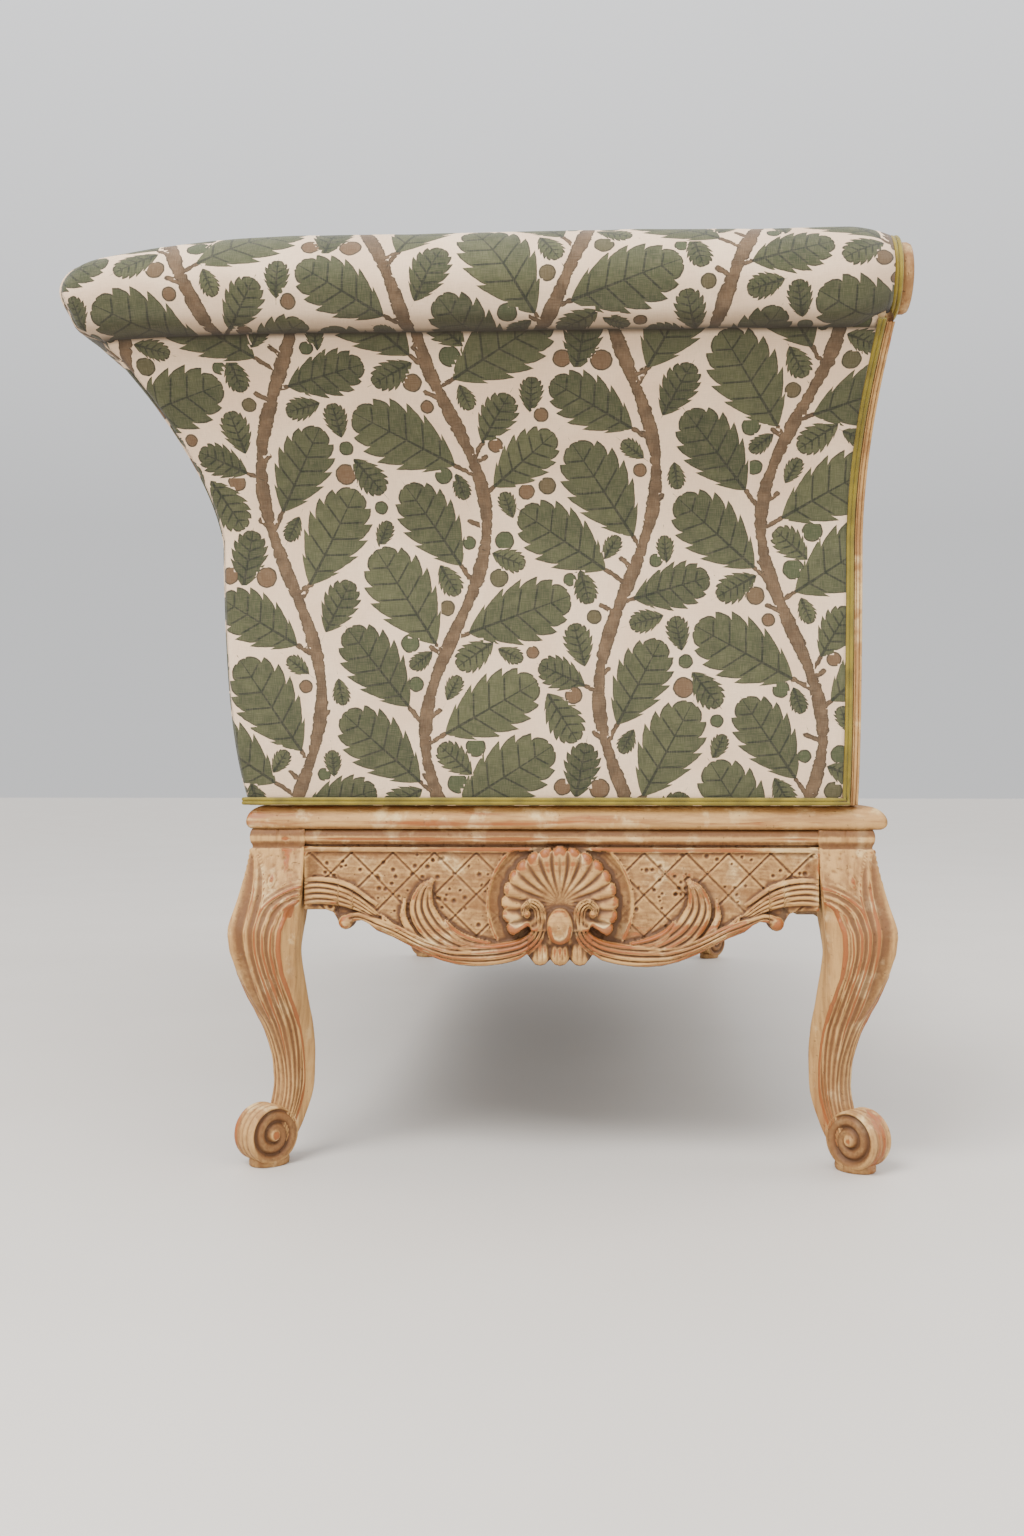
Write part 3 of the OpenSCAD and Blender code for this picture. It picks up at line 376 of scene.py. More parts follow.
def board(side, half, place_xy, at_end, at_nose, seed):
    """A length of board. at_end and at_nose are how far its ends and its nose stand out."""
    rings = int(2 * half / 0.004)
    section = board_section.copy()
    section[:-3, 0] -= at_nose * (1 - section[:-3, 0] / BOARD_WIDE)
    share = (section[:, 0] + at_nose) / (BOARD_WIDE + at_nose)
    near_nose = held(1 - (section[:, 0] + at_nose) / 0.02)
    (inner, z), i = section.T, np.arange(rings + 1)[:, None]
    left = -half - at_end[0] + share * (BOARD_WIDE + at_end[0])
    right = half + at_end[1] - share * (BOARD_WIDE + at_end[1])
    run = left + (right - left) * i / rings
    dent = ripple(run, z * 3, 0.09, seed) * 0.0005 + ripple(run, z, 0.02, seed + 1) * 0.0002
    points = columns(*place_xy(run, inner + dent * near_nose), BOARD_LOW + z)
    shade = 0.9 + 0.5 * ripple(half * (2 * i / rings - 1), z * 9, 0.2, seed + 7)
    crest_and_shade = (0.7 + hump(z - thick / 2 * 0.55, 0.0035) * shade - 0.9 * held(1 - z / 0.006))
    body("board_" + side, ["moulding_" + side], points, paint_end if half < 0.5 else paint_long,
         crest_and_shade=crest_and_shade * near_nose)


MIDDLE_Y, HALF_DEEP = (FRONT_Y + REAR_Y) / 2, (REAR_Y - FRONT_Y) / 2
board("front", END_X, lambda r, n: (r, FRONT_Y + n), (0, 0), FRONT_EXTRA, 0)
board("rear", END_X, lambda r, n: (r, REAR_Y - n), (0, 0), 0, 5)
board("left", HALF_DEEP, lambda r, n: (-END_X + n, MIDDLE_Y + r), (FRONT_EXTRA, 0), 0, 10)
board("right", HALF_DEEP, lambda r, n: (END_X - n, MIDDLE_Y + r), (FRONT_EXTRA, 0), 0, 15)

# %% [markdown]
# The aprons are one carver's motif: a shell in a sunk ring, an oval boss under it with
# three fluted drops, ridged bands that sweep along the lower edge to a curl, and plumes.
# A height map of half the motif is worked out once, in millimetres, and every apron reads
# its relief from it. Each band is a path with a width, and its ridges run along it.
# %% Relief of the carved motif
MAP_STEP, MAP_LOW, SHELL_Z, NOTHING = 0.8, 216, 291, -9
MAP_X, MAP_Z = np.meshgrid(np.arange(0, 296, MAP_STEP), np.arange(MAP_LOW, 380, MAP_STEP),
                           indexing="ij")


def smooth_path(points):
    """A smooth line through points, each with its place and its half width."""
    p = np.array(points, float)
    t = np.linspace(0, len(p) - 1, 180)
    k = np.clip(t.astype(int), 0, len(p) - 2)
    f = (t - k)[:, None]
    before, after = p[np.maximum(k - 1, 0)], p[np.minimum(k + 2, len(p) - 1)]
    a, b = p[k], p[k + 1]
    return 0.5 * (2 * a + (b - before) * f + (2 * before - 5 * a + 4 * b - after) * f ** 2
                  + (3 * a - before - 3 * b + after) * f ** 3)


def ridged_band(x, z, points, ridges, height, fade_in=0.08, fade_out=0.15, lift=0.0):
    """Height of a band of parallel ridges. Points are (x, z, half width). lift raises its
    beginning."""
    path = smooth_path(points)
    line, width = path[:, :2], path[:, 2]
    ahead = np.gradient(line, axis=0)
    ahead /= np.hypot(*ahead.T)[:, None]
    k = ((x[..., None] - line[:, 0]) ** 2 + (z[..., None] - line[:, 1]) ** 2).argmin(-1)
    dx, dz = x - line[k, 0], z - line[k, 1]
    q = (dx * ahead[k, 1] - dz * ahead[k, 0]) / width[k]
    past = np.abs(dx * ahead[k, 0] + dz * ahead[k, 1])
    t = k / (len(line) - 1)
    ends = held(t / fade_in + 0.3) * held((1 - t) / fade_out + 0.3)
    ends = ends * (1 + lift * hump(t, 0.26))
    wave = 0.5 + 0.5 * np.abs(np.sin(math.pi * ridges * (q + 1) / 2)) ** 0.7
    rounded = np.sqrt(held(1 - np.abs(q) ** 5))
    return np.where((np.abs(q) < 1) & (past < 3),
                    height * ends * rounded * (wave if ridges > 1 else 1), NOTHING)


def shell_relief(x, z):
    """The fan of ribs, and the sunk ring with its lip round it."""
    out, angle = np.hypot(x, z - SHELL_Z), np.degrees(np.arctan2(z - SHELL_Z, x))
    fan = ((angle > -34) | ((out < 42) & (z > 262))) & (angle <= 90.01)
    lean = angle + 5 * np.sin(out / 62 * math.pi) * np.sign(90.01 - angle)
    rib = np.abs(np.cos(math.pi * (lean - 90) / 14.6))
    rim = 60 + 4 * rib ** 0.5
    reach = held(out / rim)
    hollow = 7 + 8.5 * reach ** 1.4 - 5 * held((reach - 0.86) / 0.14) ** 2
    ribs = 3.4 * rib ** 0.8 * np.clip(reach * 1.8, 0.15, 1)
    shell = np.where(fan & (out < rim), hollow + ribs - 2, NOTHING)
    ring = np.where((out > 60) & (out < 78), -2.1 * np.sin((out - 60) / 18 * math.pi), NOTHING)
    lip = np.where(np.abs(out - 79.5) < 2, 2 * np.cos((out - 79.5) / 2 * math.pi / 2), NOTHING)
    return shell, np.where((angle > -52) & (z < 349), np.maximum(ring, lip), NOTHING)


def lobe(x, z, at_x, at_z, half_x, half_z, height, flutes=0, power=0.5):
    """A rounded boss. Its flutes run along its second direction."""
    q = ((x - at_x) / half_x) ** 2 + ((z - at_z) / half_z) ** 2
    rounded = height * held(1 - q) ** power
    if flutes:
        wave = np.abs(np.cos(math.pi * flutes * (x - at_x) / half_x / 2))
        rounded = rounded * (0.78 + 0.22 * wave)
    return np.where(q < 1, rounded, NOTHING)


print("map", MAP_X.shape)

# %% [markdown]
# The motif's paths come from the photograph's proportions: distances from the shell's
# middle and heights above the floor. The lower edge is drawn the same way, so that the
# ridges follow it.
# %% Motif and lower edge
EDGE_MIDDLE = [(0, 223), (5.5, 224.5), (10.9, 230), (16.4, 224.5), (21.8, 223), (27.3, 224.5),
               (32.8, 231), (36, 236), (46, 229), (62, 225), (80, 222.5), (96, 222), (112, 223.5),
               (130, 228), (150, 236.5), (168, 246), (182, 253)]
EDGE_CURL = [(-34, -9), (-26, -1.5), (-18, 2.5), (-9, 1), (-7.5, -3), (-5, -6.4), (0, -8),
             (5, -6.4), (7.6, -3), (9, 3), (14, 11), (22, 14), (44, 14)]
CURL_AT, CURL_Z, BEAD_Z, FILLET_Z, RAIL_TOP = 236, 270, 364.5, 350.5, 373.0


def lower_edge(points):
    line = evenly(points, 1.0)
    return lambda x: np.interp(np.abs(x), line[:, 0], line[:, 1])


end_edge = lower_edge(EDGE_MIDDLE + [(CURL_AT + x, CURL_Z + z) for x, z in EDGE_CURL])


def highest(x, z, bands, lobes, *others):
    """The height where bands, lobes and other reliefs lie over each other."""
    return np.maximum.reduce([ridged_band(x, z, *band) for band in bands]
                             + [lobe(x, z, *form) for form in lobes] + list(others))


MOTIF_BANDS = [
    ([(37, 279, 4), (38, 287, 5), (31, 292.5, 6), (23, 286, 7), (21.5, 270, 8), (27, 254, 9.5),
      (41, 243, 11), (60, 237.5, 12), (80, 235, 12.5), (100, 234.5, 12), (122, 236, 10),
      (150, 245, 8.5), (182, 261, 7.5), (205, 270, 6.5), (222, 277, 5)], 4, 9.5, 0.001, 0.15, 1.1),
    ([(92, 240, 5), (116, 247, 12), (138, 262, 15.5), (151, 284, 15), (149, 304, 10),
      (141, 316, 3)], 4, 8.5),
    ([(76, 246, 4), (98, 250, 6), (115, 258, 6), (127, 274, 1.5)], 2, 8),
    ([(146, 246, 3), (162, 258, 4.5), (172, 276, 4), (171, 294, 1.5)], 1, 5),
    ([(170, 256, 3), (183, 264, 5), (196, 277, 2)], 2, 5.5)]
MOTIF_LOBES = [(0, 258, 31, 15, 9), (35.5, 281, 4.5, 5.5, 21), (0, 238, 11.5, 17, 10, 4),
               (21.8, 239, 11.5, 17, 8.5, 4)]
ARCH_BANDS = [
    ([(-58, 262, 5), (-34, 269, 6.5), (-14, 276, 6), (0, 273, 5)], 2, 7.5),
    ([(60, 297, 12), (34, 302, 12.5), (8, 299, 11), (-14, 290, 8), (-34, 277, 4)], 4, 6.5),
    ([(60, 316, 2.5), (24, 317, 3), (-4, 310, 3), (-32, 291, 2.2)], 1, 4)]


def motif_relief(x, z):
    """The middle motif, out to 182 mm from its middle."""
    boss = (lobe(x, z, 0, 267, 15.5, 20.5, 21, 0, 0.3)
            - 2.6 * np.exp(-(np.hypot(x / 10, (z - 267) / 15) ** 6)))
    return highest(x, z, MOTIF_BANDS, MOTIF_LOBES, boss, *shell_relief(x, z))


def arch_relief(x, z, curl_at):
    """The curl and the acanthus along the arch beside a leg. x runs away from the middle."""
    return highest(x - curl_at, z, ARCH_BANDS, [(0, CURL_Z, 8.5, 8.5, 9.5)])


motif_map = motif_relief(MAP_X, MAP_Z)
print("highest relief", round(float(motif_map.max()), 1), "mm")

# %% [markdown]
# Between the motifs the ground has an incised lattice, worm holes and tool marks, and a
# fillet and a bead run above it. A point that stands higher than the average round it is
# a crest, where the paint wears off first.
# %% Ground of the carving
def ground_relief(x, z, seed):
    """Bead, fillet, incised lattice, worm holes and tool marks."""
    height = 0.25 * ripple(x, z * 8, 30, seed) + 0.12 * ripple(x, z * 3, 9, seed + 1)
    for sign in (-1, 1):
        away = np.abs((x + sign * (z - 347) + 23) % 46 - 23) / math.sqrt(2)
        height = height - 1.5 * hump(away, 1.1) + 0.6 * hump(away - 2, 0.9)
    rng = np.random.RandomState(seed)
    span = x.max() - x.min()
    for _ in range(int(span / 3)):
        hole_x, hole_z, wide = x.min() + rng.rand() * span, 262 + rng.rand() * 84, 1 + rng.rand()
        near = (np.abs(x - hole_x) < 6) & (np.abs(z - hole_z) < 6)
        away = np.hypot(x[near] - hole_x, z[near] - hole_z)
        height[near] -= 2.4 * hump(away, wide)
        height[near] += 0.5 * hump(away - 2 * wide, 0.8)
    from_fillet, from_bead = np.abs(z - FILLET_Z), np.abs(z - BEAD_Z)
    height = np.where(from_fillet < 3.2, held(1 - (from_fillet / 3.2) ** 6) * 2.6, height)
    return np.where(from_bead < 8.6, np.maximum(8 * half_round(from_bead, 8.6), 0.5), height)


def mean_around(h, reach):
    """The average height over a square of points, to tell crests from hollows."""
    padded = np.pad(h, reach + 1, mode="edge").cumsum(0).cumsum(1)
    n = 2 * reach + 1
    total = padded[n:, n:] - padded[:-n, n:] - padded[n:, :-n] + padded[:-n, :-n]
    return total[:h.shape[0], :h.shape[1]] / n ** 2


print("bead at", BEAD_Z, "mm, fillet at", FILLET_Z, "mm")

# %% [markdown]
# An apron is a body whose section is tall and thin. Its front points are close together
# and carry the relief, and its plain back needs only a few.
# %% Carved aprons
def read_map(table, x, z):
    u = np.clip(np.abs(x) / MAP_STEP, 0, table.shape[0] - 1.001)
    v = np.clip((z - MAP_LOW) / MAP_STEP, 0, table.shape[1] - 1.001)
    i, j = u.astype(int), v.astype(int)
    f, g = u - i, v - j
    return (table[i, j] * (1 - f) * (1 - g) + table[i + 1, j] * f * (1 - g)
            + table[i, j + 1] * (1 - f) * g + table[i + 1, j + 1] * f * g)


FACE_DEEP, BACK_DEEP, RUBBED_Z, RUBBED_WIDE, INTO_POST = 12, (30, 38, 38), 362.5, 2.6, 63.6


def apron(name, node, half, edge, relief, step, place_xy, finish, seed):
    """half is half the length in mm. place_xy turns (along, inwards) in metres into x, y."""
    rings = int(2 * half / step)
    run = np.linspace(-half, half, rings + 1)
    low = edge(run)[:, None]
    z = low + (RAIL_TOP - low) * np.linspace(0, 1, int(150 / step))[None, :]
    x = np.broadcast_to(run[:, None], z.shape)
    height, carved = ground_relief(x, z, seed), relief(x, z)
    sunk = (carved > -2.2) & (carved < 0)
    height = np.where(sunk, carved + 0.3 * height.clip(-1, 0.4), np.maximum(height, carved))
    meets = held(1 - (half - np.abs(x)) / 13) ** 1.6
    height = height + meets * np.clip(8.5 - height, 0, 9) * np.where(height > 2, 0.6, 1) * (z < 354)
    height = height * (0.35 + 0.65 * np.sqrt(1 - (1 - held((z - low) / 4)) ** 2))
    crest_and_shade = height - mean_around(height, max(2, int(5 / step)))
    # On the bead the value is set low, and raised only on the line that hands rub, to paint in the
    # shade that the board's nose casts on it.
    in_bead = held((z - 355) / 3)
    rubbed = (2.2 + 0.5 * ripple(x, z * 9, 90, seed + 3)) * hump(z - RUBBED_Z, RUBBED_WIDE)
    crest_and_shade = np.minimum(crest_and_shade, 2.0) * (1 - in_bead) + in_bead * (rubbed - 0.75)
    z = np.concatenate([z, columns(RAIL_TOP, RAIL_TOP, low[:, 0])], 1)
    deep = np.concatenate([FACE_DEEP - height, np.broadcast_to(BACK_DEEP, (rings + 1, 3))], 1)
    body(name, [node], columns(*place_xy(run[:, None] / 1000, deep / 1000), z / 1000), finish,
         crest_and_shade=np.pad(crest_and_shade, ((0, 0), (0, 3))))


def end_relief(x, z):
    return np.maximum(read_map(motif_map, x, z), arch_relief(np.abs(x), z, CURL_AT))


END_HALF, LONG_HALF = HALF_DEEP * 1000 - INTO_POST, END_X * 1000 - INTO_POST
step_end = 1.25
apron("apron_left", "rail_left", END_HALF, end_edge, end_relief, step_end,
      lambda r, n: (-END_X + n, MIDDLE_Y - r), paint_end, 3)
apron("apron_right", "rail_right", END_HALF, end_edge, end_relief, step_end,
      lambda r, n: (END_X - n, MIDDLE_Y + r), paint_end, 4)

# %% [markdown]
# The front apron isn't in view in the photograph. It repeats the end's motif in its
# middle, as such aprons do, with a smaller drop on each side and the same arches.
# %% Front apron and plain rear rail
FRONT_CURL, MOTIF_END, CURL_LONG = LONG_HALF - 44, 182, 34
run_out = FRONT_CURL - CURL_LONG - MOTIF_END


def along_front(points):
    """Points between the motif and the curl, their first number a share of the way."""
    return [(MOTIF_END + share * run_out, *rest) for share, *rest in points]


front_edge = lower_edge(
    EDGE_MIDDLE + along_front(
        [(0.1, 265), (0.2, 274), (0.3, 281), (0.38, 280), (0.44, 270), (0.49, 255), (0.54, 247),
         (0.6, 246), (0.66, 247), (0.72, 252), (0.8, 258), (0.9, 261)])
    + [(FRONT_CURL + x, CURL_Z + z) for x, z in EDGE_CURL])
FRONT_BANDS = [
    ([(206, 270, 6)] + along_front([(0.14, 282, 7), (0.28, 293, 8), (0.38, 294, 7),
                                    (0.44, 282, 5)]), 3, 6.5),
    (along_front([(0.36, 300, 3), (0.44, 288, 8), (0.5, 266, 11), (0.58, 257, 11), (0.68, 259, 9),
                  (0.8, 267, 7.5), (0.92, 271, 6.5), (1, 272, 5)]), 4, 8),
    (along_front([(0.56, 262, 6), (0.62, 276, 10), (0.64, 296, 9), (0.62, 312, 3)]), 3, 7.5),
    (along_front([(0.6, 262, 5), (0.68, 272, 8), (0.73, 288, 6), (0.74, 300, 2)]), 3, 6.5)]


def front_relief(x, z):
    d = np.abs(x)
    return highest(d, z, FRONT_BANDS, along_front([(0.56, 268, 9, 12, 11)]),
                   np.where(d < 230, read_map(motif_map, x, z), NOTHING),
                   arch_relief(d, z, FRONT_CURL))


apron("apron_front", "rail_front", LONG_HALF, front_edge, front_relief,
      1.9, lambda r, n: (r, FRONT_Y + n), paint_long, 6)
rear_edge = lower_edge([(0, 270), (LONG_HALF - 160, 270), (LONG_HALF - 110, 272),
                        (LONG_HALF - 70, 281), (LONG_HALF - 20, 284), (LONG_HALF, 284)])
apron("rail_rear_plain", "rail_rear", LONG_HALF, rear_edge,
      lambda x, z: np.where(z < 346, 0.0 * x, NOTHING), 4.0, lambda r, n: (r, REAR_Y - n),
      paint_long, 9)

# %% [markdown]
# A cabriole leg swings out at the knee, in at the ankle and out again at the scroll.
# The stations give height, swing and half width in millimetres, and how far the section
# has turned towards the diagonal.
# %% Stations of a leg
STATIONS = np.array([
    [373, 0, 31, 0], [357, 0, 31, 0], [354, 0, 30, 0], [348, 0.6, 30, 0], [322.5, 5, 33, 0],
    [290, 13.4, 36, 0.05], [262, 21, 39, 0.1], [240.3, 22, 37, 0.2], [215.2, 16.8, 34.5, 0.35],
    [195.2, 10.1, 32, 0.45], [175.2, 2.5, 28.5, 0.55], [155.1, -6.1, 25, 0.7],
    [135.1, -11.5, 22, 0.85], [115, -15, 19.8, 0.95], [95, -16, 18.5, 1], [79.8, -15, 18, 1],
    [65.5, -11.5, 17.5, 1], [52.3, -6.1, 17, 1], [38, 0, 16.5, 1], [25.7, 6.1, 15, 1]])
POST_IN, POST_HALF, LEG_LOW, SWING_Z, KNEE_ARRIS = 0.034, 31, 25.7, 276, 76


def diagonal_place(x_sign, y_sign):
    """Turns (outwards on the diagonal, sideways, height) in mm into a leg's points."""
    middle = (x_sign * (END_X - POST_IN), MIDDLE_Y + y_sign * (HALF_DEEP - POST_IN))
    return lambda out, side, z: columns(middle[0] + x_sign * (out - side) / math.sqrt(2) / 1000,
                                        middle[1] + y_sign * (out + side) / math.sqrt(2) / 1000,
                                        z / 1000)


def rounded_square(half, angle, turn, crisp=7):
    c, s = np.abs(np.cos(angle - turn)), np.abs(np.sin(angle - turn))
    return half / (c ** crisp + s ** crisp) ** (1 / crisp)


def arris_at(z):
    """The angle of the edge between a carved face and a smooth one. The leg twists below."""
    return np.interp(z, [60, 110, 170, 215, 262, 286, 298], [96, 91, 83, 75, 73, 79, 90])


print("stations", len(STATIONS))

# %% [markdown]
# A leg's two outer faces carry flutes that run down to the foot, the widest at the corner,
# and its inner faces are smooth. Over the knee the ridges part: those at the corner close
# into the tip of a leaf, and the others swing over to the aprons.
# %% Flutes of a leg
def leg_relief(z, deg):
    """The height, and how far a point lies on a ridge that hands have rubbed. Over the knee
    the corner's ridges draw together into a leaf tip, and the others swing to the apron."""
    over_knee = z > SWING_Z
    arris = np.where(over_knee, KNEE_ARRIS, arris_at(z))
    up_corner = held((z - 296) / 56)
    corner = deg / (1 - 0.86 * up_corner ** 1.6)
    to_rail = POST_HALF - POST_HALF * np.tan(np.radians(np.clip(deg, 0, 92) - 45))
    swung = 45 + np.degrees(np.arctan2(POST_HALF - np.hypot(to_rail, z - SWING_Z), POST_HALF))
    side = np.where(over_knee, swung, deg)
    on_corner = (corner < 37) & (up_corner < 1)
    on_side = (side > 27) & (side < arris) & (deg < 93) & ~on_corner
    q = np.maximum(np.where(on_corner, corner, side), 0) / np.minimum(arris, KNEE_ARRIS)
    p = 4.7 * q ** 1.35 + 0.16 * np.sin(z / 23 + deg / 17) + 0.1
    part = p - np.floor(p)
    line = hump(np.minimum(part, 1 - part), 0.17)
    depth = np.interp(z, [30, 60, 110, 200, 262, 320, 350], [0.4, 0.8, 1.2, 1.7, 2.2, 2.2, 1.6])
    raised = np.maximum(up_corner * on_corner, held((z - SWING_Z) / 12) * on_side)
    flutes = depth * (0.6 * line - np.sin(math.pi * part) ** 0.6) + 1.6 * raised
    plain = -1.7 + 0.35 * ripple(deg, z, 12, 77)
    rng = np.random.RandomState(5)
    for _ in range(28):
        hole_deg, hole_z, wide = 18 + 70 * rng.rand(), 302 + 48 * rng.rand(), 1.0 + rng.rand()
        plain = plain - 1.5 * np.exp(
            -(((deg - hole_deg) * 0.6) ** 2 + (z - hole_z) ** 2) / wide ** 2)
    carved = on_corner | on_side
    face = np.where(deg < np.where(over_knee, 91, arris), np.where(carved, flutes, plain), -0.8)
    face = face + 2.2 * np.sqrt(held(1 - (((deg - 44) / 7) ** 2 + ((z - 317) / 8) ** 2)))
    rub = line * held(2.5 * ripple(37 * np.floor(p + 0.5), z, 130, 23))
    rub = rub * carved + 0.29 * (~carved & over_knee & (deg < 91))
    return face + 1.1 * hump(deg - arris, 4.5) * (z < 300), rub


print("ridges part at", SWING_Z, "mm")

# %% [markdown]
# The shaft's section is a rounded square. It stands square to the aprons at the top and
# square to the diagonal at the foot. Behind the carved faces each side is cut flat.
# %% Leg shafts
def shaft(name, node, turned):
    step, around = ((1.7, 150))
    levels, order = np.linspace(RAIL_TOP, LEG_LOW, 600), STATIONS[::-1]
    z = np.linspace(RAIL_TOP, LEG_LOW, int(348 / step) + 1)[:, None]

    def smooth(k):
        column = np.pad(np.interp(levels, order[:, 0], order[:, k]), 12, "edge")
        return np.interp(z, levels[::-1], np.convolve(column, np.ones(25) / 25, "valid")[::-1])

    swing, half, turn = smooth(1), np.where(z > 354.5, POST_HALF, smooth(2)), smooth(3)
    angle = np.linspace(-math.pi, math.pi, around + 1)[:-1]
    deg, arris_deg = np.abs(np.degrees(angle)), arris_at(z)
    square = ((1 - turn) * rounded_square(half, angle, math.pi / 4,
                                          np.interp(z, [262, 312], [8, 40]))
              + turn * rounded_square(half, angle, 0))
    arris = np.radians(arris_deg)
    reach = half / np.cos(arris - math.pi / 4) * np.sin(arris)
    slope = np.cos(np.clip(np.abs(angle) - math.pi / 2, -1.1, 1.1))
    bevel = held((1 - turn) * 1.6) * (np.abs(angle) > arris) * (z < 300)
    square = square - bevel * np.maximum(square - reach / slope, 0)
    bead = 4.6 * half_round(z - BEAD_Z, 9) - 4.6 - 1.6 * hump(deg - 46, 1.6)
    carving, rub = leg_relief(z, deg)
    relief = np.where(z > 356, bead, np.where(z > 352, -3.0, carving))
    relief = relief + 0.25 * ripple(angle * 30, z, 40, 21)
    relief = relief * np.where(z > 284, np.clip(np.abs(deg - 90) / 4, 0.1, 1), 1)
    crest_and_shade = np.clip(1.1 * (relief - mean_around(relief, 3)), -0.75, 1.7)
    crest_and_shade = np.where((deg > arris_deg) & (z < 300), 0.8, crest_and_shade) + 2.4 * rub * (z < 352)
    crest_and_shade = crest_and_shade + 3.4 * hump(deg - arris_deg, 4.0) * (z < 296)
    # At the top the bead is set low in the same way, save its rubbed line, to paint in the board's
    # shade.
    crest_and_shade = np.where(z > 353, -0.6 + 2.0 * hump(z - RUBBED_Z, RUBBED_WIDE), crest_and_shade)
    radius = square + relief
    return body(name, [node], turned(swing + radius * np.cos(angle), radius * np.sin(angle), z),
                paint_upright, crest_and_shade=crest_and_shade)


print("shaft", RAIL_TOP - LEG_LOW, "mm high")

# %% [markdown]
# The scroll foot is a drum on its side. A raised band winds in to an eye on both of its
# faces, and a rounded block under it takes the weight.
# %% Scroll feet
SCROLL_R, SCROLL_HALF, SCROLL_OUT, SCROLL_Z, BLOCK_OVAL = 31.5, 18.5, 22, 35, 0.78


def scroll(name, turned):
    face = [(r, SCROLL_HALF) for r in np.linspace(0, SCROLL_R - 2.5, 34)]
    face += [(SCROLL_R - a, SCROLL_HALF - b) for a, b in ((2.2, 0.2), (1.2, 1.0), (0.3, 2.2))]
    line = face + [(SCROLL_R, w) for w in np.linspace(SCROLL_HALF - 4, 4 - SCROLL_HALF, 22)]
    r, w = np.array(line + [(r, -w) for r, w in face[::-1]]).T[..., None]
    angle = np.linspace(0, 2 * math.pi, (140) + 1)[:-1]
    wind = (r / 13 - (angle + 2.2) / (2 * math.pi)) % 1
    side = -3.9 * hump(wind - 0.5, 0.2) * held((r - 5) / 3) * held((SCROLL_R - 1 - r) / 3)
    side = side + 2.2 * half_round(r, 6.5)
    reeds = np.where(r > SCROLL_R - 0.5, 0.9 * (np.abs(np.sin(math.pi * w / 9)) - 0.6), 0)
    points = turned(SCROLL_OUT + (r + reeds) * np.cos(angle), w + np.sign(w) * side,
                    SCROLL_Z + (r + reeds) * np.sin(angle))
    crest_and_shade = hump(r - SCROLL_R + 1.5, 2) + 0.28 * side + 0.8 * reeds + 2.4 * hump(r, 4.5) - 0.35
    return body(name, [], points, paint_upright, ends=False, crest_and_shade=crest_and_shade)


def foot_block(name, turned):
    r, z = np.array([(0, 0), (22, 0), (23.6, 1.5), (24, 5), (23.2, 9), (21, 11.5), (16, 12),
                     (0, 12)]).T[..., None]
    angle = np.linspace(0, 2 * math.pi, 65)[:-1]
    points = turned(SCROLL_OUT - 4 + r * np.cos(angle), r * BLOCK_OVAL * np.sin(angle), z)
    return body(name, [], points, paint_upright, ends=False)


for end, x_sign in (("left", -1), ("right", 1)):
    for side, y_sign in (("front", -1), ("rear", 1)):
        name, turned = f"{side}_{end}", diagonal_place(x_sign, y_sign)
        shaft("leg_shaft_" + name, "leg_" + name, turned)
        scroll("scroll_foot_" + name, turned)
        foot_block("foot_block_" + name, turned)

# %% [markdown]
# The linen's print is worked out as a tile that repeats with a half drop. Each leaf, berry
# and stalk is a field: a number below 0 inside the shape and near the distance outside.
# %% Leaves and stalks of the print
TILE_W, TILE_H = 360.0, 460.0


def nearest_image(dx, dz):
    """The steps of the half-drop repeat that bring a distance nearest to nothing."""
    n = np.round(dx / TILE_W)
    m = np.round((dz - n * TILE_H / 2) / TILE_H)
    return n, m


def apart(x, z, at):
    dx, dz = x - at[0], z - at[1]
    n, m = nearest_image(dx, dz)
    return dx - n * TILE_W, dz - n * TILE_H / 2 - m * TILE_H


LEAF_RISE, LEAF_FALL, LEAF_FULL, VEIN_LEAN = 0.62, 0.8, 2.646, 0.55


def leaf_half_width(u):
    u = held(u)
    return LEAF_FULL * u ** LEAF_RISE * (1 - u) ** LEAF_FALL


def leaf_field(x, z, leaf):
    """Below 0 inside a leaf or a berry, about the distance in mm outside."""
    base_x, base_z, turn, long, wide = leaf[:5]
    if long == 0:
        dx, dz = apart(x, z, (base_x, base_z))
        return np.hypot(dx, dz) - wide
    c, s = math.cos(turn), math.sin(turn)
    dx, dz = apart(x, z, (base_x + c * long / 2, base_z + s * long / 2))
    u, v = dx * c + dz * s + long / 2, np.abs(dz * c - dx * s)
    inside = v - wide * leaf_half_width((u - VEIN_LEAN * v) / long)
    return np.maximum.reduce([inside, -u, u - long])


def stalk_field(x, z, stalk):
    """The same for a straight piece of stem, from one point to another."""
    x0, z0, x1, z1, half = stalk
    dx, dz = apart(x, z, ((x0 + x1) / 2, (z0 + z1) / 2))
    long = math.hypot(x1 - x0, z1 - z0)
    c, s = (x1 - x0) / long, (z1 - z0) / long
    past = np.maximum(np.abs(dx * c + dz * s) - long / 2, 0)
    return np.hypot(past, dz * c - dx * s) - half


print("tile", TILE_W, "by", TILE_H, "mm")

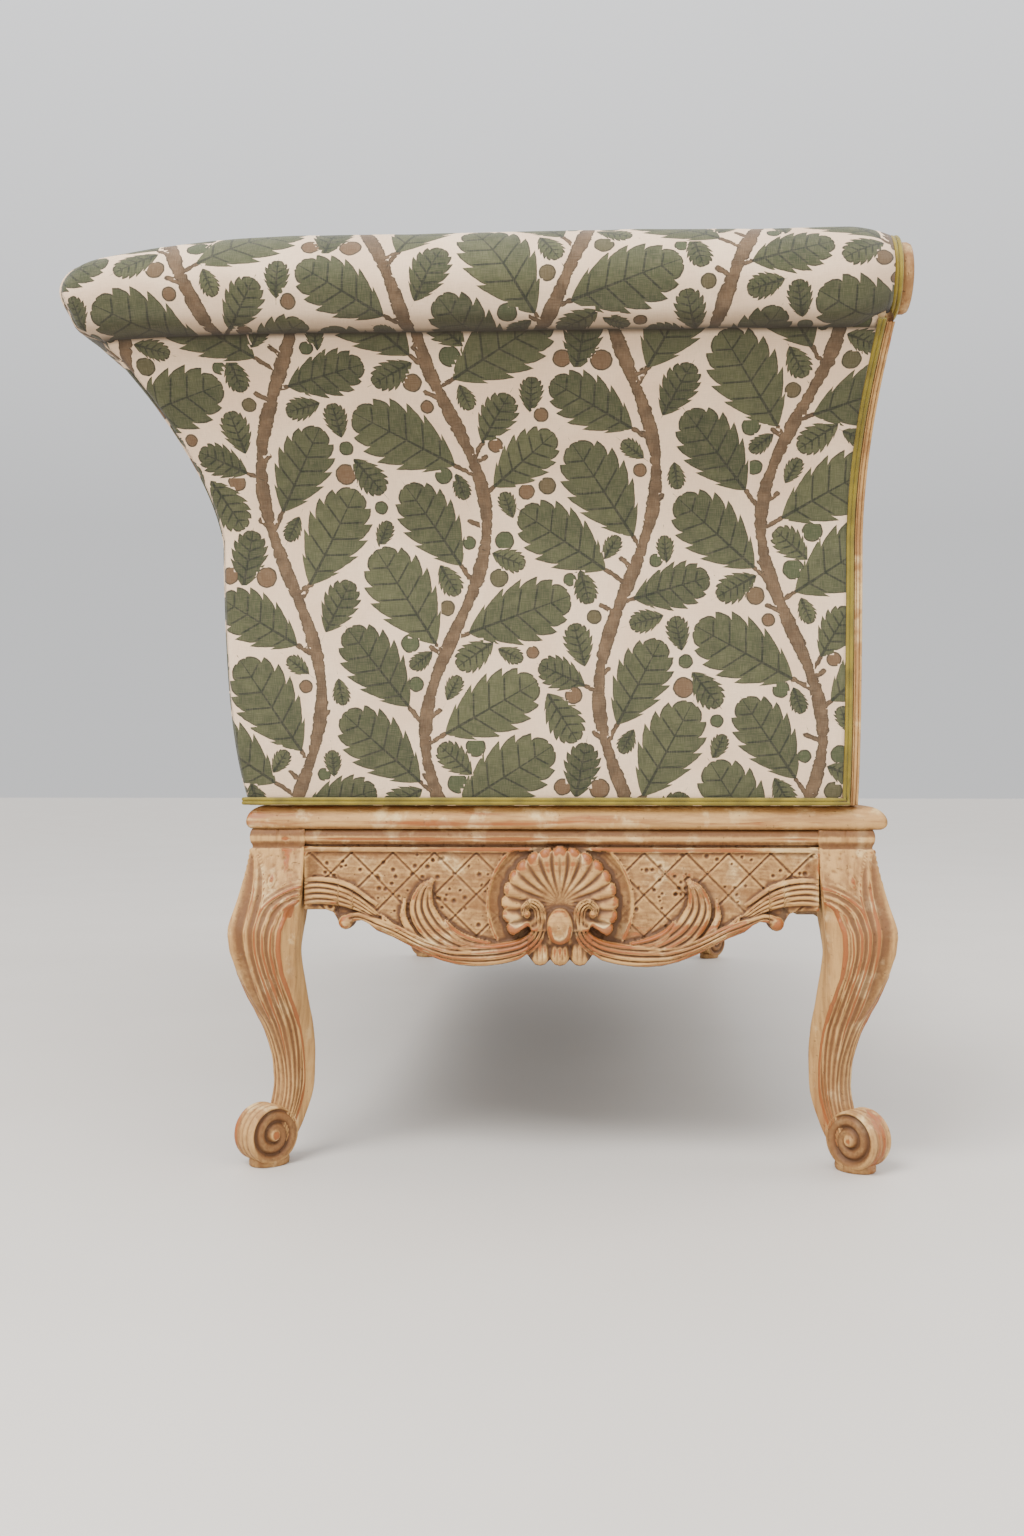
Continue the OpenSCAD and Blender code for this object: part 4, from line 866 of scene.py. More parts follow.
# %% [markdown]
# Two winding stems climb the tile with a few bare twigs. Leaves stand on short stalks to
# both sides, the large ones first. At each place some leaves are tried with a little luck
# in their turn, size and stalk, and the longest that keeps clear of all before it stays.
# %% Stems and their leaves
GRID, GAP, LEAF_BASE, LEAF_STALK, TWIG = 2.0, 3.6, 9, 2.6, 2.8
tile_x, tile_z = np.meshgrid(np.arange(0, TILE_W, GRID) + GRID / 2,
                             np.arange(0, TILE_H, GRID) + GRID / 2, indexing="ij")
rng = np.random.RandomState(11)
stalks, leaves, stems = [], [], []
for start, swing, phase in ((86, 34, 0.4), (262, 30, 2.9)):
    climb = np.arange(0, TILE_H + 1, 11.5)
    wind = start + swing * np.sin(climb / TILE_H * 2 * math.pi + phase)
    stems.append((climb, wind))
    for k in range(len(climb) - 1):
        stalks.append((wind[k], climb[k], wind[k + 1], climb[k + 1], 6.6 + 1.1 * math.sin(k * 0.9)))
    for k in range(3, len(climb) - 1, 6):
        lean, long = (-1) ** (k // 6) * (0.7 + 0.5 * rng.rand()), 13 + 8 * rng.rand()
        stalks.append((wind[k], climb[k], wind[k] + math.sin(lean) * long,
                       climb[k] + math.cos(lean) * long, TWIG))
taken = np.minimum.reduce([stalk_field(tile_x, tile_z, s) for s in stalks])


def try_leaf(at_x, at_z, turn, long, wide, stalk_long=0):
    """The room left round a leaf, positive if it keeps clear, then the leaf and its stalk."""
    tip_x, tip_z = at_x + math.cos(turn) * stalk_long, at_z + math.sin(turn) * stalk_long
    leaf = (tip_x, tip_z, turn, long, wide, rng.rand())
    base = np.hypot(*apart(tile_x, tile_z, (tip_x, tip_z))) < LEAF_BASE
    under = taken[(leaf_field(tile_x, tile_z, leaf) < 0) & ~base]
    room = under.min() if under.size else NOTHING
    return room - GAP, leaf, (at_x, at_z, tip_x, tip_z, LEAF_STALK) if stalk_long else None


def take(leaf, stalk=None):
    global taken
    leaves.append(leaf)
    taken = np.minimum(taken, leaf_field(tile_x, tile_z, leaf))
    if stalk:
        stalks.append(stalk)
        taken = np.minimum(taken, stalk_field(tile_x, tile_z, stalk))


def grown_leaf(at_x, at_z, side, size, wide):
    """A leaf of about a size on a stalk, to one side of a stem."""
    turn = math.pi / 2 - side * (0.45 + 0.85 * rng.rand())
    scale = 0.9 + 0.25 * rng.rand()
    return try_leaf(at_x, at_z, turn, size * scale, wide * scale, 14 + 16 * rng.rand())


for size, wide, tries in ((106, 31, 12), (92, 28, 12), (78, 24, 9), (60, 20, 8)):
    for k, (climb, wind), side in product(range(12), stems, (-1, 1)):
        up = (k + (side > 0) / 2) * TILE_H / 12
        found = [grown_leaf(np.interp(up, climb, wind), up, side, size, wide)
                 for _ in range(tries)]
        clear = [f for f in found if f[0] > 0]
        if clear:
            take(*max(clear, key=lambda f: f[1][3])[1:])
print("leaves on stems", len(leaves))

# %% [markdown]
# What is left open is filled from the largest gaps down: loose sprigs first, then berries.
# The tile's shapes are then kept as two index maps, one of the nearest leaf or berry and
# one of the nearest stalk, so that any point of the cloth finds its own.
# %% Fillers and index maps
OVERLAP, LEAST_ROOM, BERRY_MOST, BERRY_GAP = -1.5, 9.5, 11.5, 3.5


def gaps():
    """Open places with the room round them, the widest first."""
    order = np.argsort(taken.ravel())[::-1]
    return [(tile_x.flat[k], tile_z.flat[k], taken.flat[k]) for k in order[:400:8]]


for size, wide in ((80, 23), (62, 20), (48, 16), (38, 13), (30, 10)):
    for _ in range(14):
        found = []
        for at_x, at_z, _room in gaps()[:24]:
            turn = rng.rand() * 2 * math.pi
            found.append(try_leaf(at_x - math.cos(turn) * size / 2,
                                  at_z - math.sin(turn) * size / 2, turn, size, wide))
        best = max(found, key=lambda f: f[0])
        if best[0] <= OVERLAP:
            break
        take(best[1])
for _ in range(26):
    at_x, at_z, room = gaps()[0]
    if room < LEAST_ROOM:
        break
    take((at_x, at_z, 0.0, 0, min(BERRY_MOST, room - BERRY_GAP), rng.rand()))
leaf_table, stalk_table = np.array(leaves), np.array(stalks)
fine_x, fine_z = np.meshgrid(np.arange(0, TILE_W) + 0.5, np.arange(0, TILE_H) + 0.5,
                             indexing="ij")


def nearest_shape(table, field):
    best, owner = np.full(fine_x.shape, 1e9), np.zeros(fine_x.shape, int)
    for k, shape in enumerate(table):
        away = field(fine_x, fine_z, shape)
        owner[away < best] = k
        best = np.minimum(best, away)
    return owner


leaf_owner = nearest_shape(leaf_table, leaf_field)
stalk_owner = nearest_shape(stalk_table, stalk_field)
print("shapes", len(leaf_table), "stalks", len(stalk_table),
      "covered", round(float((taken < 0).mean()), 2))

# %% [markdown]
# Each face of a cloth piece looks up its own leaf and stalk and stores its corners'
# places in that leaf's own frame. The finish then draws the leaf exactly, however coarse
# the mesh is, and the print follows the cloth round every roll.
# %% Print the cloth
def print_cloth(piece, drop):
    mesh = piece.data
    corners = np.empty(len(mesh.loops) * 2)
    mesh.uv_layers["cloth"].data.foreach_get("uv", corners)
    corners = corners.reshape(-1, 2) * 1000 + np.array(drop)
    sizes = np.empty(len(mesh.polygons), int)
    mesh.polygons.foreach_get("loop_total", sizes)
    face = np.repeat(np.arange(len(sizes)), sizes)
    middle = columns(*(np.bincount(face, corners[:, k]) / sizes for k in (0, 1)))
    n = np.floor(middle[:, 0] / TILE_W)
    in_x, in_z = middle[:, 0] - n * TILE_W, (middle[:, 1] - n * TILE_H / 2) % TILE_H
    pick = (in_x.astype(int).clip(0, int(TILE_W) - 1), in_z.astype(int).clip(0, int(TILE_H) - 1))

    def local(centre, turn):
        """Corners in the frame of the leaf or stalk that is nearest to their face."""
        a, b = nearest_image(*(middle - centre).T)
        d = corners - (centre + columns(a * TILE_W, a * TILE_H / 2 + b * TILE_H))[face]
        c, s = np.cos(turn)[face], np.sin(turn)[face]
        return d[:, 0] * c + d[:, 1] * s, d[:, 1] * c - d[:, 0] * s

    def store(name, u, v):
        mesh.uv_layers.new(name=name).data.foreach_set("uv", columns(u, v).ravel())

    leaf = leaf_table[leaf_owner[pick]]
    half = columns(np.cos(leaf[:, 2]), np.sin(leaf[:, 2])) * leaf[:, 3:4] / 2
    u, v = local(leaf[:, :2] + half, leaf[:, 2])
    store("leaf", u + leaf[face, 3] / 2, v)
    store("leaf_size", leaf[face, 3], leaf[face, 4])
    stalk = stalk_table[stalk_owner[pick]]
    way = stalk[:, 2:4] - stalk[:, :2]
    u, v = local((stalk[:, :2] + stalk[:, 2:4]) / 2, np.arctan2(way[:, 1], way[:, 0]))
    store("stalk", v, np.maximum(np.abs(u) - np.hypot(*way.T)[face] / 2, 0))
    store("stalk_size", stalk[face, 4], leaf[face, 5])


print("print is ready")

# %% [markdown]
# The linen is matt and slightly slubbed. Its ground is a pale pinkish cream. Leaves are
# grey-green with a dark outline, a midrib and side veins, stems are brown, and the ink
# lies unevenly, as in a hand print.
# %% Printed linen
def printed_linen():
    f = Finish("printed_linen", roughness=0.92, Sheen_Weight=0.12, Sheen_Roughness=0.5)
    u, v, _ = f.map("leaf")
    long, wide, _ = f.map("leaf_size")
    across, past, _ = f.map("stalk")
    stalk_half, seed, _ = f.map("stalk_size")
    _, _, cloth = f.map("cloth")
    out = f.math("ABSOLUTE", v)
    is_leaf = f.math("GREATER_THAN", long, 1.0)
    safe_long = f.math("MAXIMUM", long, 1.0)
    wobble = f.noise(cloth, 160, 2) - 0.5
    share = f.math("DIVIDE", u - out * VEIN_LEAN, safe_long, clamp=True)
    phase = f.math("FRACT", share * 6.0 + 0.25)
    tooth = f.math("MAXIMUM", phase, 0.001) ** 0.55
    width = (share ** LEAF_RISE * (1.0 - share) ** LEAF_FALL * (wide * LEAF_FULL)
             * (0.76 + tooth * 0.28))
    inside = width - out
    in_berry = wide - f.math("SQRT", u * u + v * v)
    edge = f.node("Mix", 0, {"data_type": "FLOAT"}, _0=is_leaf, _2=in_berry, _3=inside)
    edge = edge + wobble * 2.2
    rib = f.ramp((1.0 - share) * 1.3 + 0.5 - out, -0.3, 0.5)
    near_vein = f.math("ABSOLUTE", phase - 0.12) * (safe_long / 7.5)
    vein = f.ramp(near_vein, 1.3, 0.6) * f.ramp(inside, 2.0, 6.0)
    veins = f.math("MAXIMUM", rib, vein) * is_leaf
    ink = f.noise(cloth, 55, 4, 0.6)
    green = f.mix(f.ramp(ink * 0.9 + seed * 0.35, 0.3, 0.95), srgb(50, 54, 31), srgb(77, 79, 50))
    green = f.mix(f.ramp(v, -6, 6) * 0.25, green, srgb(48, 54, 31))
    berry = f.mix(f.ramp(seed, 0.3, 0.6), srgb(62, 69, 42), srgb(98, 74, 50))
    fill = f.mix(veins * 0.85, f.mix(is_leaf, berry, green), srgb(24, 29, 17))
    fill = f.mix(f.ramp(edge, 2.0, 0.9) * 0.85, fill, srgb(32, 30, 18))
    weave = f.noise(cloth, 1500, 1, 0.5, (1, 0.06, 1)) + f.noise(cloth, 1500, 1, 0.5, (0.06, 1, 1))
    ground = f.mix(f.ramp(f.noise(cloth, 12, 3), 0.3, 0.7), srgb(224, 192, 158),
                   srgb(237, 208, 174))
    ground = f.mix(f.ramp(weave, 0.8, 1.2, 0, 0.22), ground, srgb(196, 166, 134))
    bark = stalk_half - f.math("SQRT", across * across + past * past) + wobble * 4.5
    brown = f.mix(f.ramp(ink, 0.35, 0.7), srgb(78, 59, 39), srgb(104, 81, 57))
    brown = f.mix(f.ramp(bark, 1.7, 0.8) * 0.75, brown, srgb(40, 30, 19))
    colour = f.mix(f.ramp(bark, -0.25, 0.35), ground, brown)
    colour = f.mix(f.ramp(edge, -0.25, 0.35), colour, fill)
    colour = f.mix(f.ramp(weave, 0.85, 1.25, 0, 0.08), colour, srgb(190, 170, 140))
    # The attribute darkens the cloth towards brown-black: painted shade in the fold under the roll
    # and along the mitres.
    painted_shade = f.math("MULTIPLY", f.attribute("crest_and_shade"), 0.85, clamp=True)
    f.bump(weave, 0.0004, 0.7)
    return f.paint(f.mix(painted_shade, colour, srgb(36, 29, 17)))


linen = printed_linen()
print("linen nodes", len(linen.node_tree.nodes))

# %% [markdown]
# The arms and the back share one section. Its outer face rises from the board, swells,
# and flares out to the roll, and its inner face rises from the seat and leans back over
# the roll. The section is drawn from distances outside the rail plane and heights.
# %% Section of the upholstery
ROLL_LOW, ROLL_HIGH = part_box("arm_roll_left")
ROLL_R = (ROLL_HIGH.z - ROLL_LOW.z) / 2
ROLL_Z = (ROLL_HIGH.z + ROLL_LOW.z) / 2
ROLL_O = -ROLL_LOW.x - END_X - ROLL_R
BULGE, FLARE_DROP, WALL, INNER_CREASE, SWEEP = 0.021, 0.246, 0.1, 145, 0.0172
FACING_INSET, FACING_THICK, WELTS_WIDE = 0.021, 0.010, 0.0098
foot = np.array([-0.003, BOARD_TOP + 0.0003])
flare = np.array([BULGE, ROLL_Z - FLARE_DROP])


def on_roll(angle, radius=ROLL_R):
    a = np.radians(angle)
    around = np.stack([np.cos(a), np.sin(a)], -1)
    return np.array([ROLL_O, ROLL_Z]) + radius * around


crease = on_roll(-52)
rise = flare[1] - foot[1]
outer_line = np.concatenate([
    bezier([foot, foot + [BULGE * 0.8, rise * 0.2], flare - [0.001, rise * 0.48], flare], 40),
    bezier([flare, flare + [0.008, 0.054], crease - [0.0655, 0.0738], crease], 60)[1:]])
inner_crease, crease_turn = on_roll(INNER_CREASE), math.radians(INNER_CREASE)
lean = np.array([math.sin(crease_turn), -math.cos(crease_turn)])
inner_line = np.concatenate([
    [[-WALL, BOARD_TOP + 0.0003]],
    bezier([[-WALL, flare[1] - 0.08], [-WALL, flare[1] + 0.08], inner_crease - 0.08 * lean,
            inner_crease], 60)])
FACING_Y = FRONT_Y + FACING_INSET
ARM_Y = FACING_Y + FACING_THICK + WELTS_WIDE
sweep_line = np.concatenate([[[0, 0.3]], bezier(
    [[0, flare[1] + 0.02], [0, flare[1] + 0.11], [-0.0066, ROLL_Z - 0.08], [-SWEEP, ROLL_Z]], 40),
    [[-SWEEP, 1.2]]])


def swept(z):
    """How far the arm's front edge is swept forward at a height."""
    return np.interp(z, sweep_line[:, 1], sweep_line[:, 0])


print("roll", round(ROLL_R, 4), "at", round(ROLL_O, 4), round(ROLL_Z, 4))

# %% [markdown]
# A cover is a body with that section. At the rear corners the arm's cloth and the back's
# meet in a mitre. The outer corner is rounded in plan, more at the roll, and the roll
# sags there, because the stuffing thins out round the bend.
# %% A cover
CLOTH_STEP, DISC_UP, DISC_Y = 0.0048, 0.006, ARM_Y - 0.027


def outward(line):
    """The direction square to a line, at each of its points."""
    ahead = np.gradient(line, axis=0)
    return columns(ahead[:, 1], -ahead[:, 0]) / np.hypot(*ahead.T)[:, None]


def painted_fold_shade(section):
    """Painted shade: dark in the fold where the panel goes under the roll, and a softer
    shade round it. It is stronger on the roll's underside than on the panel."""
    away = np.hypot(*(section - fold_point).T)
    wider_shade = 0.25 if section is panel_section else 0.8
    return 0.8 * hump(away, 0.0028) + wider_shade * hump(away, 0.027)


def cover(name, nodes, section, cloth_start, wall, starts, visible, drop, shape=None):
    """wall is -1 for the left arm, 1 for the right and 0 for the back. starts gives the
    arm's front end. Section points past visible are the hidden back."""
    o, z = section.T
    round_r = np.interp(o, [-0.01, 0.03, ROLL_O, ROLL_O + ROLL_R], [0.002, 0.008, 0.016, 0.018])
    normal = outward(section)
    up = cloth_start + np.r_[0, np.cumsum(np.hypot(*np.diff(section, axis=0).T))]
    low, high = (starts, REAR_Y + o) if wall else (-END_X - o, END_X + o)
    rings = int((high - low).max() / CLOTH_STEP)
    run = low + (high - low) * np.arange(rings + 1)[:, None] / rings
    ends = [high - run] if wall else [high - run, run - low]
    inset = shift = sag = 0
    on_top = held((z - 0.862) / 0.124) ** 0.8 * held((o + 0.02) / 0.1)
    on_top = on_top * (1 - 0.4 * held((o - 0.11) / 0.04))
    for d, sign in zip(ends, (-1, 1)):
        angle = held(1 - d / round_r) * math.pi / 4
        on = d < round_r
        inset = np.where(on, round_r * (1 - np.cos(angle)), inset)
        shift = np.where(on, sign * ((round_r - d) - round_r * np.sin(angle)), shift)
        sag = np.maximum(sag, 0.030 * on_top * np.exp(-np.maximum(d, 0) / 0.07))
    swell = (ripple(run, up, 0.16, 31 + wall) * 0.0011
             + ripple(run, up, 0.05, 41 + wall) * 0.00035)
    near_end = held(np.minimum.reduce(ends) / 0.03)
    push = swell * (np.arange(len(o)) < visible) * near_end
    oo, zz = o - inset + normal[:, 0] * push, z - sag + normal[:, 1] * push
    if shape is not None:
        oo, zz = shape(oo, zz, run)
    along = run + shift
    points = columns(wall * (END_X + oo), along, zz) if wall else columns(along, REAR_Y + oo, zz)
    # Painted shade for the cloth: in the fold under the roll, and faintly along the mitred ends
    # where the covers meet.
    crest_and_shade = np.maximum(painted_fold_shade(section), 0.5 * hump(np.minimum.reduce(ends), 0.0022))
    piece = body(name, nodes, points, linen, crest_and_shade=crest_and_shade, cloth=columns(run * (-wall or 1), up))
    print_cloth(piece, drop)


print("points on a cover are", CLOTH_STEP * 1000, "mm apart")

# %% [markdown]
# The panel's section goes up the outer face and tucks in under the roll. The cover's goes
# round the roll and down the inner face. A few points behind each close the body where
# nobody sees it. At the arm's front the roll is drawn in to the ring of cord.
# %% Covers of the arms and the back
outside = evenly(outer_line, CLOTH_STEP)
tuck = held((outside[:, 1] - (crease[1] - 0.014)) / 0.014) ** 1.5
outside = outside + columns(-0.0042 * tuck, 0.0042 * tuck)
behind = outside[::-1][::max(1, int(0.03 / CLOTH_STEP))] + [-0.008, 0.0]
panel_section = np.concatenate([outside, [outside[-1] + [-0.004, 0.004]], behind])
turns = np.linspace(-74, 145, int(math.radians(219) * ROLL_R / CLOTH_STEP))
fuller = ROLL_R + 0.0054 * hump(turns + 42, 12) + 0.0042 * hump(turns + 4, 26)
roll_arc = on_roll(turns, fuller[:, None])
inside_face = evenly(inner_line[::-1], CLOTH_STEP)[1:]
hidden = np.array([[-0.056, BOARD_TOP + 0.004], [-0.056, 0.55], [-0.05, 0.66], [-0.02, 0.80],
                   [0.03, 0.87], [0.075, 0.90], [0.105, 0.895]])
from_middle = np.hypot(outside[:, 0] - ROLL_O, outside[:, 1] - ROLL_Z)
fold_point = outside[np.argmax(from_middle < ROLL_R + 0.0030)]
cover_section = np.concatenate([roll_arc, inside_face, hidden])
print("fold at", np.round(fold_point, 4))
on_arc = np.arange(len(cover_section)) < len(roll_arc)
panel_start = ARM_Y + swept(panel_section[:, 1]) - 0.0012
cover_start = np.where(on_arc, DISC_Y, ARM_Y + swept(cover_section[:, 1]))


def rounded_end(o, z, run):
    """Draws the roll in over its last 42 mm, down to the ring of cord."""
    drawn = (1 - held((run - DISC_Y) / 0.042)) ** 1.7
    keep = 1 - 0.25 * drawn
    return (np.where(on_arc, ROLL_O + (o - ROLL_O) * keep, o),
            np.where(on_arc, ROLL_Z + (z - ROLL_Z) * keep + DISC_UP * drawn, z))


for wall, part, panel_drop, cover_drop in ((-1, "arm_{}_left", (40, 10), (150, 90)),
                                           (1, "arm_{}_right", (40, 10), (150, 90)),
                                           (0, "back_{}", (220, 60), (70, 200))):
    cover(part.format("outside"), [part.format("panel")], panel_section, 0.0, wall, panel_start,
          len(outside), panel_drop)
    cover(part.format("cover"), [part.format("roll"), part.format("pad")], cover_section, 0.52,
          wall, cover_start, len(roll_arc) + len(inside_face), cover_drop,
          rounded_end if wall else None)

# %% [markdown]
# The seat cushion is a boxed cushion, filled and loose. A flat box is rounded, then
# Blender's cloth blows it up from inside for a few steps, and its points may move only a
# little, so that it stays between the arms and on the deck.
# %% Seat cushion
SEAT_LOW, SEAT_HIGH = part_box("seat_cushion")
PRESSURE, STIFFNESS, FRAMES, MOST_MOVE = 4, 30, 16, 0.016


def cushion_shape(step):
    bm = bmesh.new()
    bmesh.ops.create_cube(bm, size=1)
    size = SEAT_HIGH - SEAT_LOW - Vector((0.016, 0.016, 0.030))
    middle = (SEAT_HIGH + SEAT_LOW) / 2 - Vector((0, 0, 0.006))
    bmesh.ops.scale(bm, vec=size, verts=bm.verts)
    upright = [e for e in bm.edges if abs((e.verts[0].co - e.verts[1].co).z) > 0.01]
    bmesh.ops.bevel(bm, geom=upright, offset=0.05, affect="EDGES", segments=5, profile=0.5,
                    material=-1)
    for axis, low, high in ((0, -size.x / 2, size.x / 2), (1, -size.y / 2, size.y / 2),
                            (2, -size.z / 2, size.z / 2)):
        for cut in np.arange(low + step, high - step / 2, step):
            where, way = Vector((0, 0, 0)), Vector((0, 0, 0))
            where[axis], way[axis] = cut, 1
            bmesh.ops.bisect_plane(bm, geom=bm.verts[:] + bm.edges[:] + bm.faces[:],
                                   plane_co=where, plane_no=way, dist=1e-5)
    bmesh.ops.translate(bm, vec=middle, verts=bm.verts)
    bmesh.ops.triangulate(bm, faces=[f for f in bm.faces if len(f.verts) > 4])
    return bm


def fill_cushion(mesh):
    """Runs the cloth under pressure and keeps each point within a few millimetres."""
    piece = bpy.data.objects.new("cushion_filling", mesh)
    bpy.context.scene.collection.objects.link(piece)
    rest = np.array([v.co for v in mesh.vertices])
    puffed = piece.modifiers.new("fill", "CLOTH")
    puffed.settings.use_pressure = True
    puffed.settings.uniform_pressure_force = PRESSURE
    puffed.settings.effector_weights.gravity = 0
    puffed.settings.tension_stiffness = puffed.settings.compression_stiffness = STIFFNESS
    puffed.point_cache.frame_end = FRAMES
    for number in range(1, FRAMES + 1):
        bpy.context.scene.frame_set(number)
    ready = piece.evaluated_get(bpy.context.evaluated_depsgraph_get()).data
    way = np.array([v.co for v in ready.vertices]) - rest
    bpy.data.objects.remove(piece)
    bpy.context.scene.frame_set(1)
    far = np.linalg.norm(way, axis=1, keepdims=True)
    way *= np.minimum(1, MOST_MOVE / np.maximum(far, 1e-9))
    mesh.vertices.foreach_set("co", (rest + way).ravel())
    return float(far.mean())


bm = cushion_shape(0.014)
bm.verts.index_update()
border = [v for v in bm.verts if any(abs(f.normal.z) < 0.5 for f in v.link_faces)
          and any(abs(f.normal.z) > 0.5 for f in v.link_faces)]
seat_middle = (SEAT_LOW.z + SEAT_HIGH.z) / 2
rim_numbers = [[v.index for v in border if (v.co.z > seat_middle) == high]
               for high in (True, False)]
cushion_mesh = bpy.data.meshes.new("seat_cushion_filled")
bm.to_mesh(cushion_mesh)
bm.free()
print("cushion", len(cushion_mesh.vertices), "points before filling")
print("mean swell", round(fill_cushion(cushion_mesh), 4))

# %% [markdown]
# After filling, the cushion gets one more subdivision, and its cloth is laid flat again
# for the print: the top and bottom by their plan, and the border by its run and height.
# %% Finish the cushion
def rim_line(numbers):
    """The cushion's edge, followed all the way round."""
    points = np.array([cushion_mesh.vertices[k].co for k in numbers])
    way = np.arctan2(points[:, 1] - points[:, 1].mean(), points[:, 0] / 2)
    return points[np.argsort(way)]


rims = [rim_line(numbers) for numbers in rim_numbers]
bm = bmesh.new()
bm.from_mesh(cushion_mesh)
for v in bm.verts:
    v.co.x, v.co.y = (min(max(v.co[k], SEAT_LOW[k]), SEAT_HIGH[k]) for k in (0, 1))
    v.co.z = max(v.co.z, SEAT_LOW.z)
bmesh.ops.subdivide_edges(bm, edges=bm.edges, cuts=1, use_grid_fill=True, smooth=0.3)
bmesh.ops.recalc_face_normals(bm, faces=bm.faces)
layer = bm.loops.layers.uv.new("cloth")
for face in bm.faces:
    n = face.normal
    for loop in face.loops:
        x, y, z = loop.vert.co
        loop[layer].uv = ((x, y + 0.3) if abs(n.z) > 0.6 else
                          (x, z) if abs(n.y) > abs(n.x) else (y, z))
bm.to_mesh(cushion_mesh)
bm.free()
cushion = show("seat_cushion_filled", cushion_mesh, linen, "printed_linen", "seat_cushion")
print_cloth(cushion, (100, 30))

# %% [markdown]
# Covered cord hides every tacked edge: two cords side by side along the board, up the
# arm's front edges and round each disc. A cord is a curve with a round bevel, made a mesh.
# %% Olive double cord
def cord_finish():
    f = Finish("welt_olive", roughness=0.7, Sheen_Weight=0.3, Sheen_Roughness=0.4)
    place = f.place()
    fine = f.noise(place, 1500, 2, 0.6)
    colour = f.mix(f.ramp(f.noise(place, 40, 3), 0.3, 0.7), srgb(108, 93, 14), srgb(140, 122, 26))
    colour = f.mix(f.ramp(fine, 0.45, 0.7, 0, 0.35), colour, srgb(84, 72, 14))
    f.bump(fine, 0.0005)
    return f.paint(colour)


olive = cord_finish()
CORD_R, RING_R, PAIR = 0.0022, 0.0396, (-0.002, 0.002)
FOOT_O, FOOT_Z = 0.0021, BOARD_TOP + 0.0049


def cord_piece(name, lines, *nodes, closed=False):
    curve = bpy.data.curves.new(name, "CURVE")
    curve.dimensions = "3D"
    curve.bevel_depth, curve.bevel_resolution = CORD_R, 4
    curve.use_fill_caps = not closed
    for line in lines:
        spline = curve.splines.new("POLY")
        spline.points.add(len(line) - 1)
        spline.points.foreach_set("co", np.c_[line, np.ones(len(line))].ravel())
        spline.use_cyclic_u = closed
    holder = bpy.data.objects.new(name + "_line", curve)
    bpy.context.scene.collection.objects.link(holder)
    mesh = bpy.data.meshes.new_from_object(holder)
    bpy.data.objects.remove(holder)
    mesh.materials.clear()
    show(name, mesh, olive, "welt", *nodes)


def moved_out(line, by):
    """A line moved square to itself by a little."""
    return line + outward(line) * by


front_up = moved_out(evenly(outer_line, 0.008), -0.0012)
inner_up = moved_out(evenly(inner_line, 0.008), 0.0012)
inner_up = inner_up[inner_up[:, 1] > BOARD_TOP + 0.024]
for end, wall in (("left", -1), ("right", 1)):
    lines = []
    for shift, level in zip((-0.0076, -0.0036), PAIR):
        foot = np.linspace(REAR_Y + FOOT_O, ARM_Y + shift, 60)
        up = front_up[front_up[:, 1] > FOOT_Z + level + 0.004]
        up, down = (columns(line[:, 0], ARM_Y + shift + swept(line[:, 1]), line[:, 1])
                    for line in (up, inner_up))
        lines += [np.concatenate([columns(FOOT_O, foot, FOOT_Z + level), up]), down]
    lines = [columns(wall * (END_X + p[:, 0]), p[:, 1], p[:, 2]) for p in lines]
    cord_piece("welt_edge_" + end, lines, "welt_" + end)
    a = np.linspace(0, 2 * math.pi, 97)[:-1]
    rings = [columns(wall * (END_X + ROLL_O + RING_R * np.cos(a)), ARM_Y - behind,
                     ROLL_Z + DISC_UP + RING_R * np.sin(a)) for behind in (0.0296, 0.0342)]
    cord_piece("welt_ring_" + end, rings, closed=True)
for side, half, y, count in (("rear", END_X + FOOT_O, REAR_Y + FOOT_O, 120),
                             ("front", END_X - WALL, FRONT_Y + 0.029 - CORD_R, 90)):
    run = np.linspace(-half, half, count)
    cord_piece("welt_edge_" + side, [columns(run, y, FOOT_Z + level) for level in PAIR],
               "welt_" + side)
for number, rim in enumerate(rims):
    cord_piece(f"cushion_piping_{number}", [rim], closed=True)

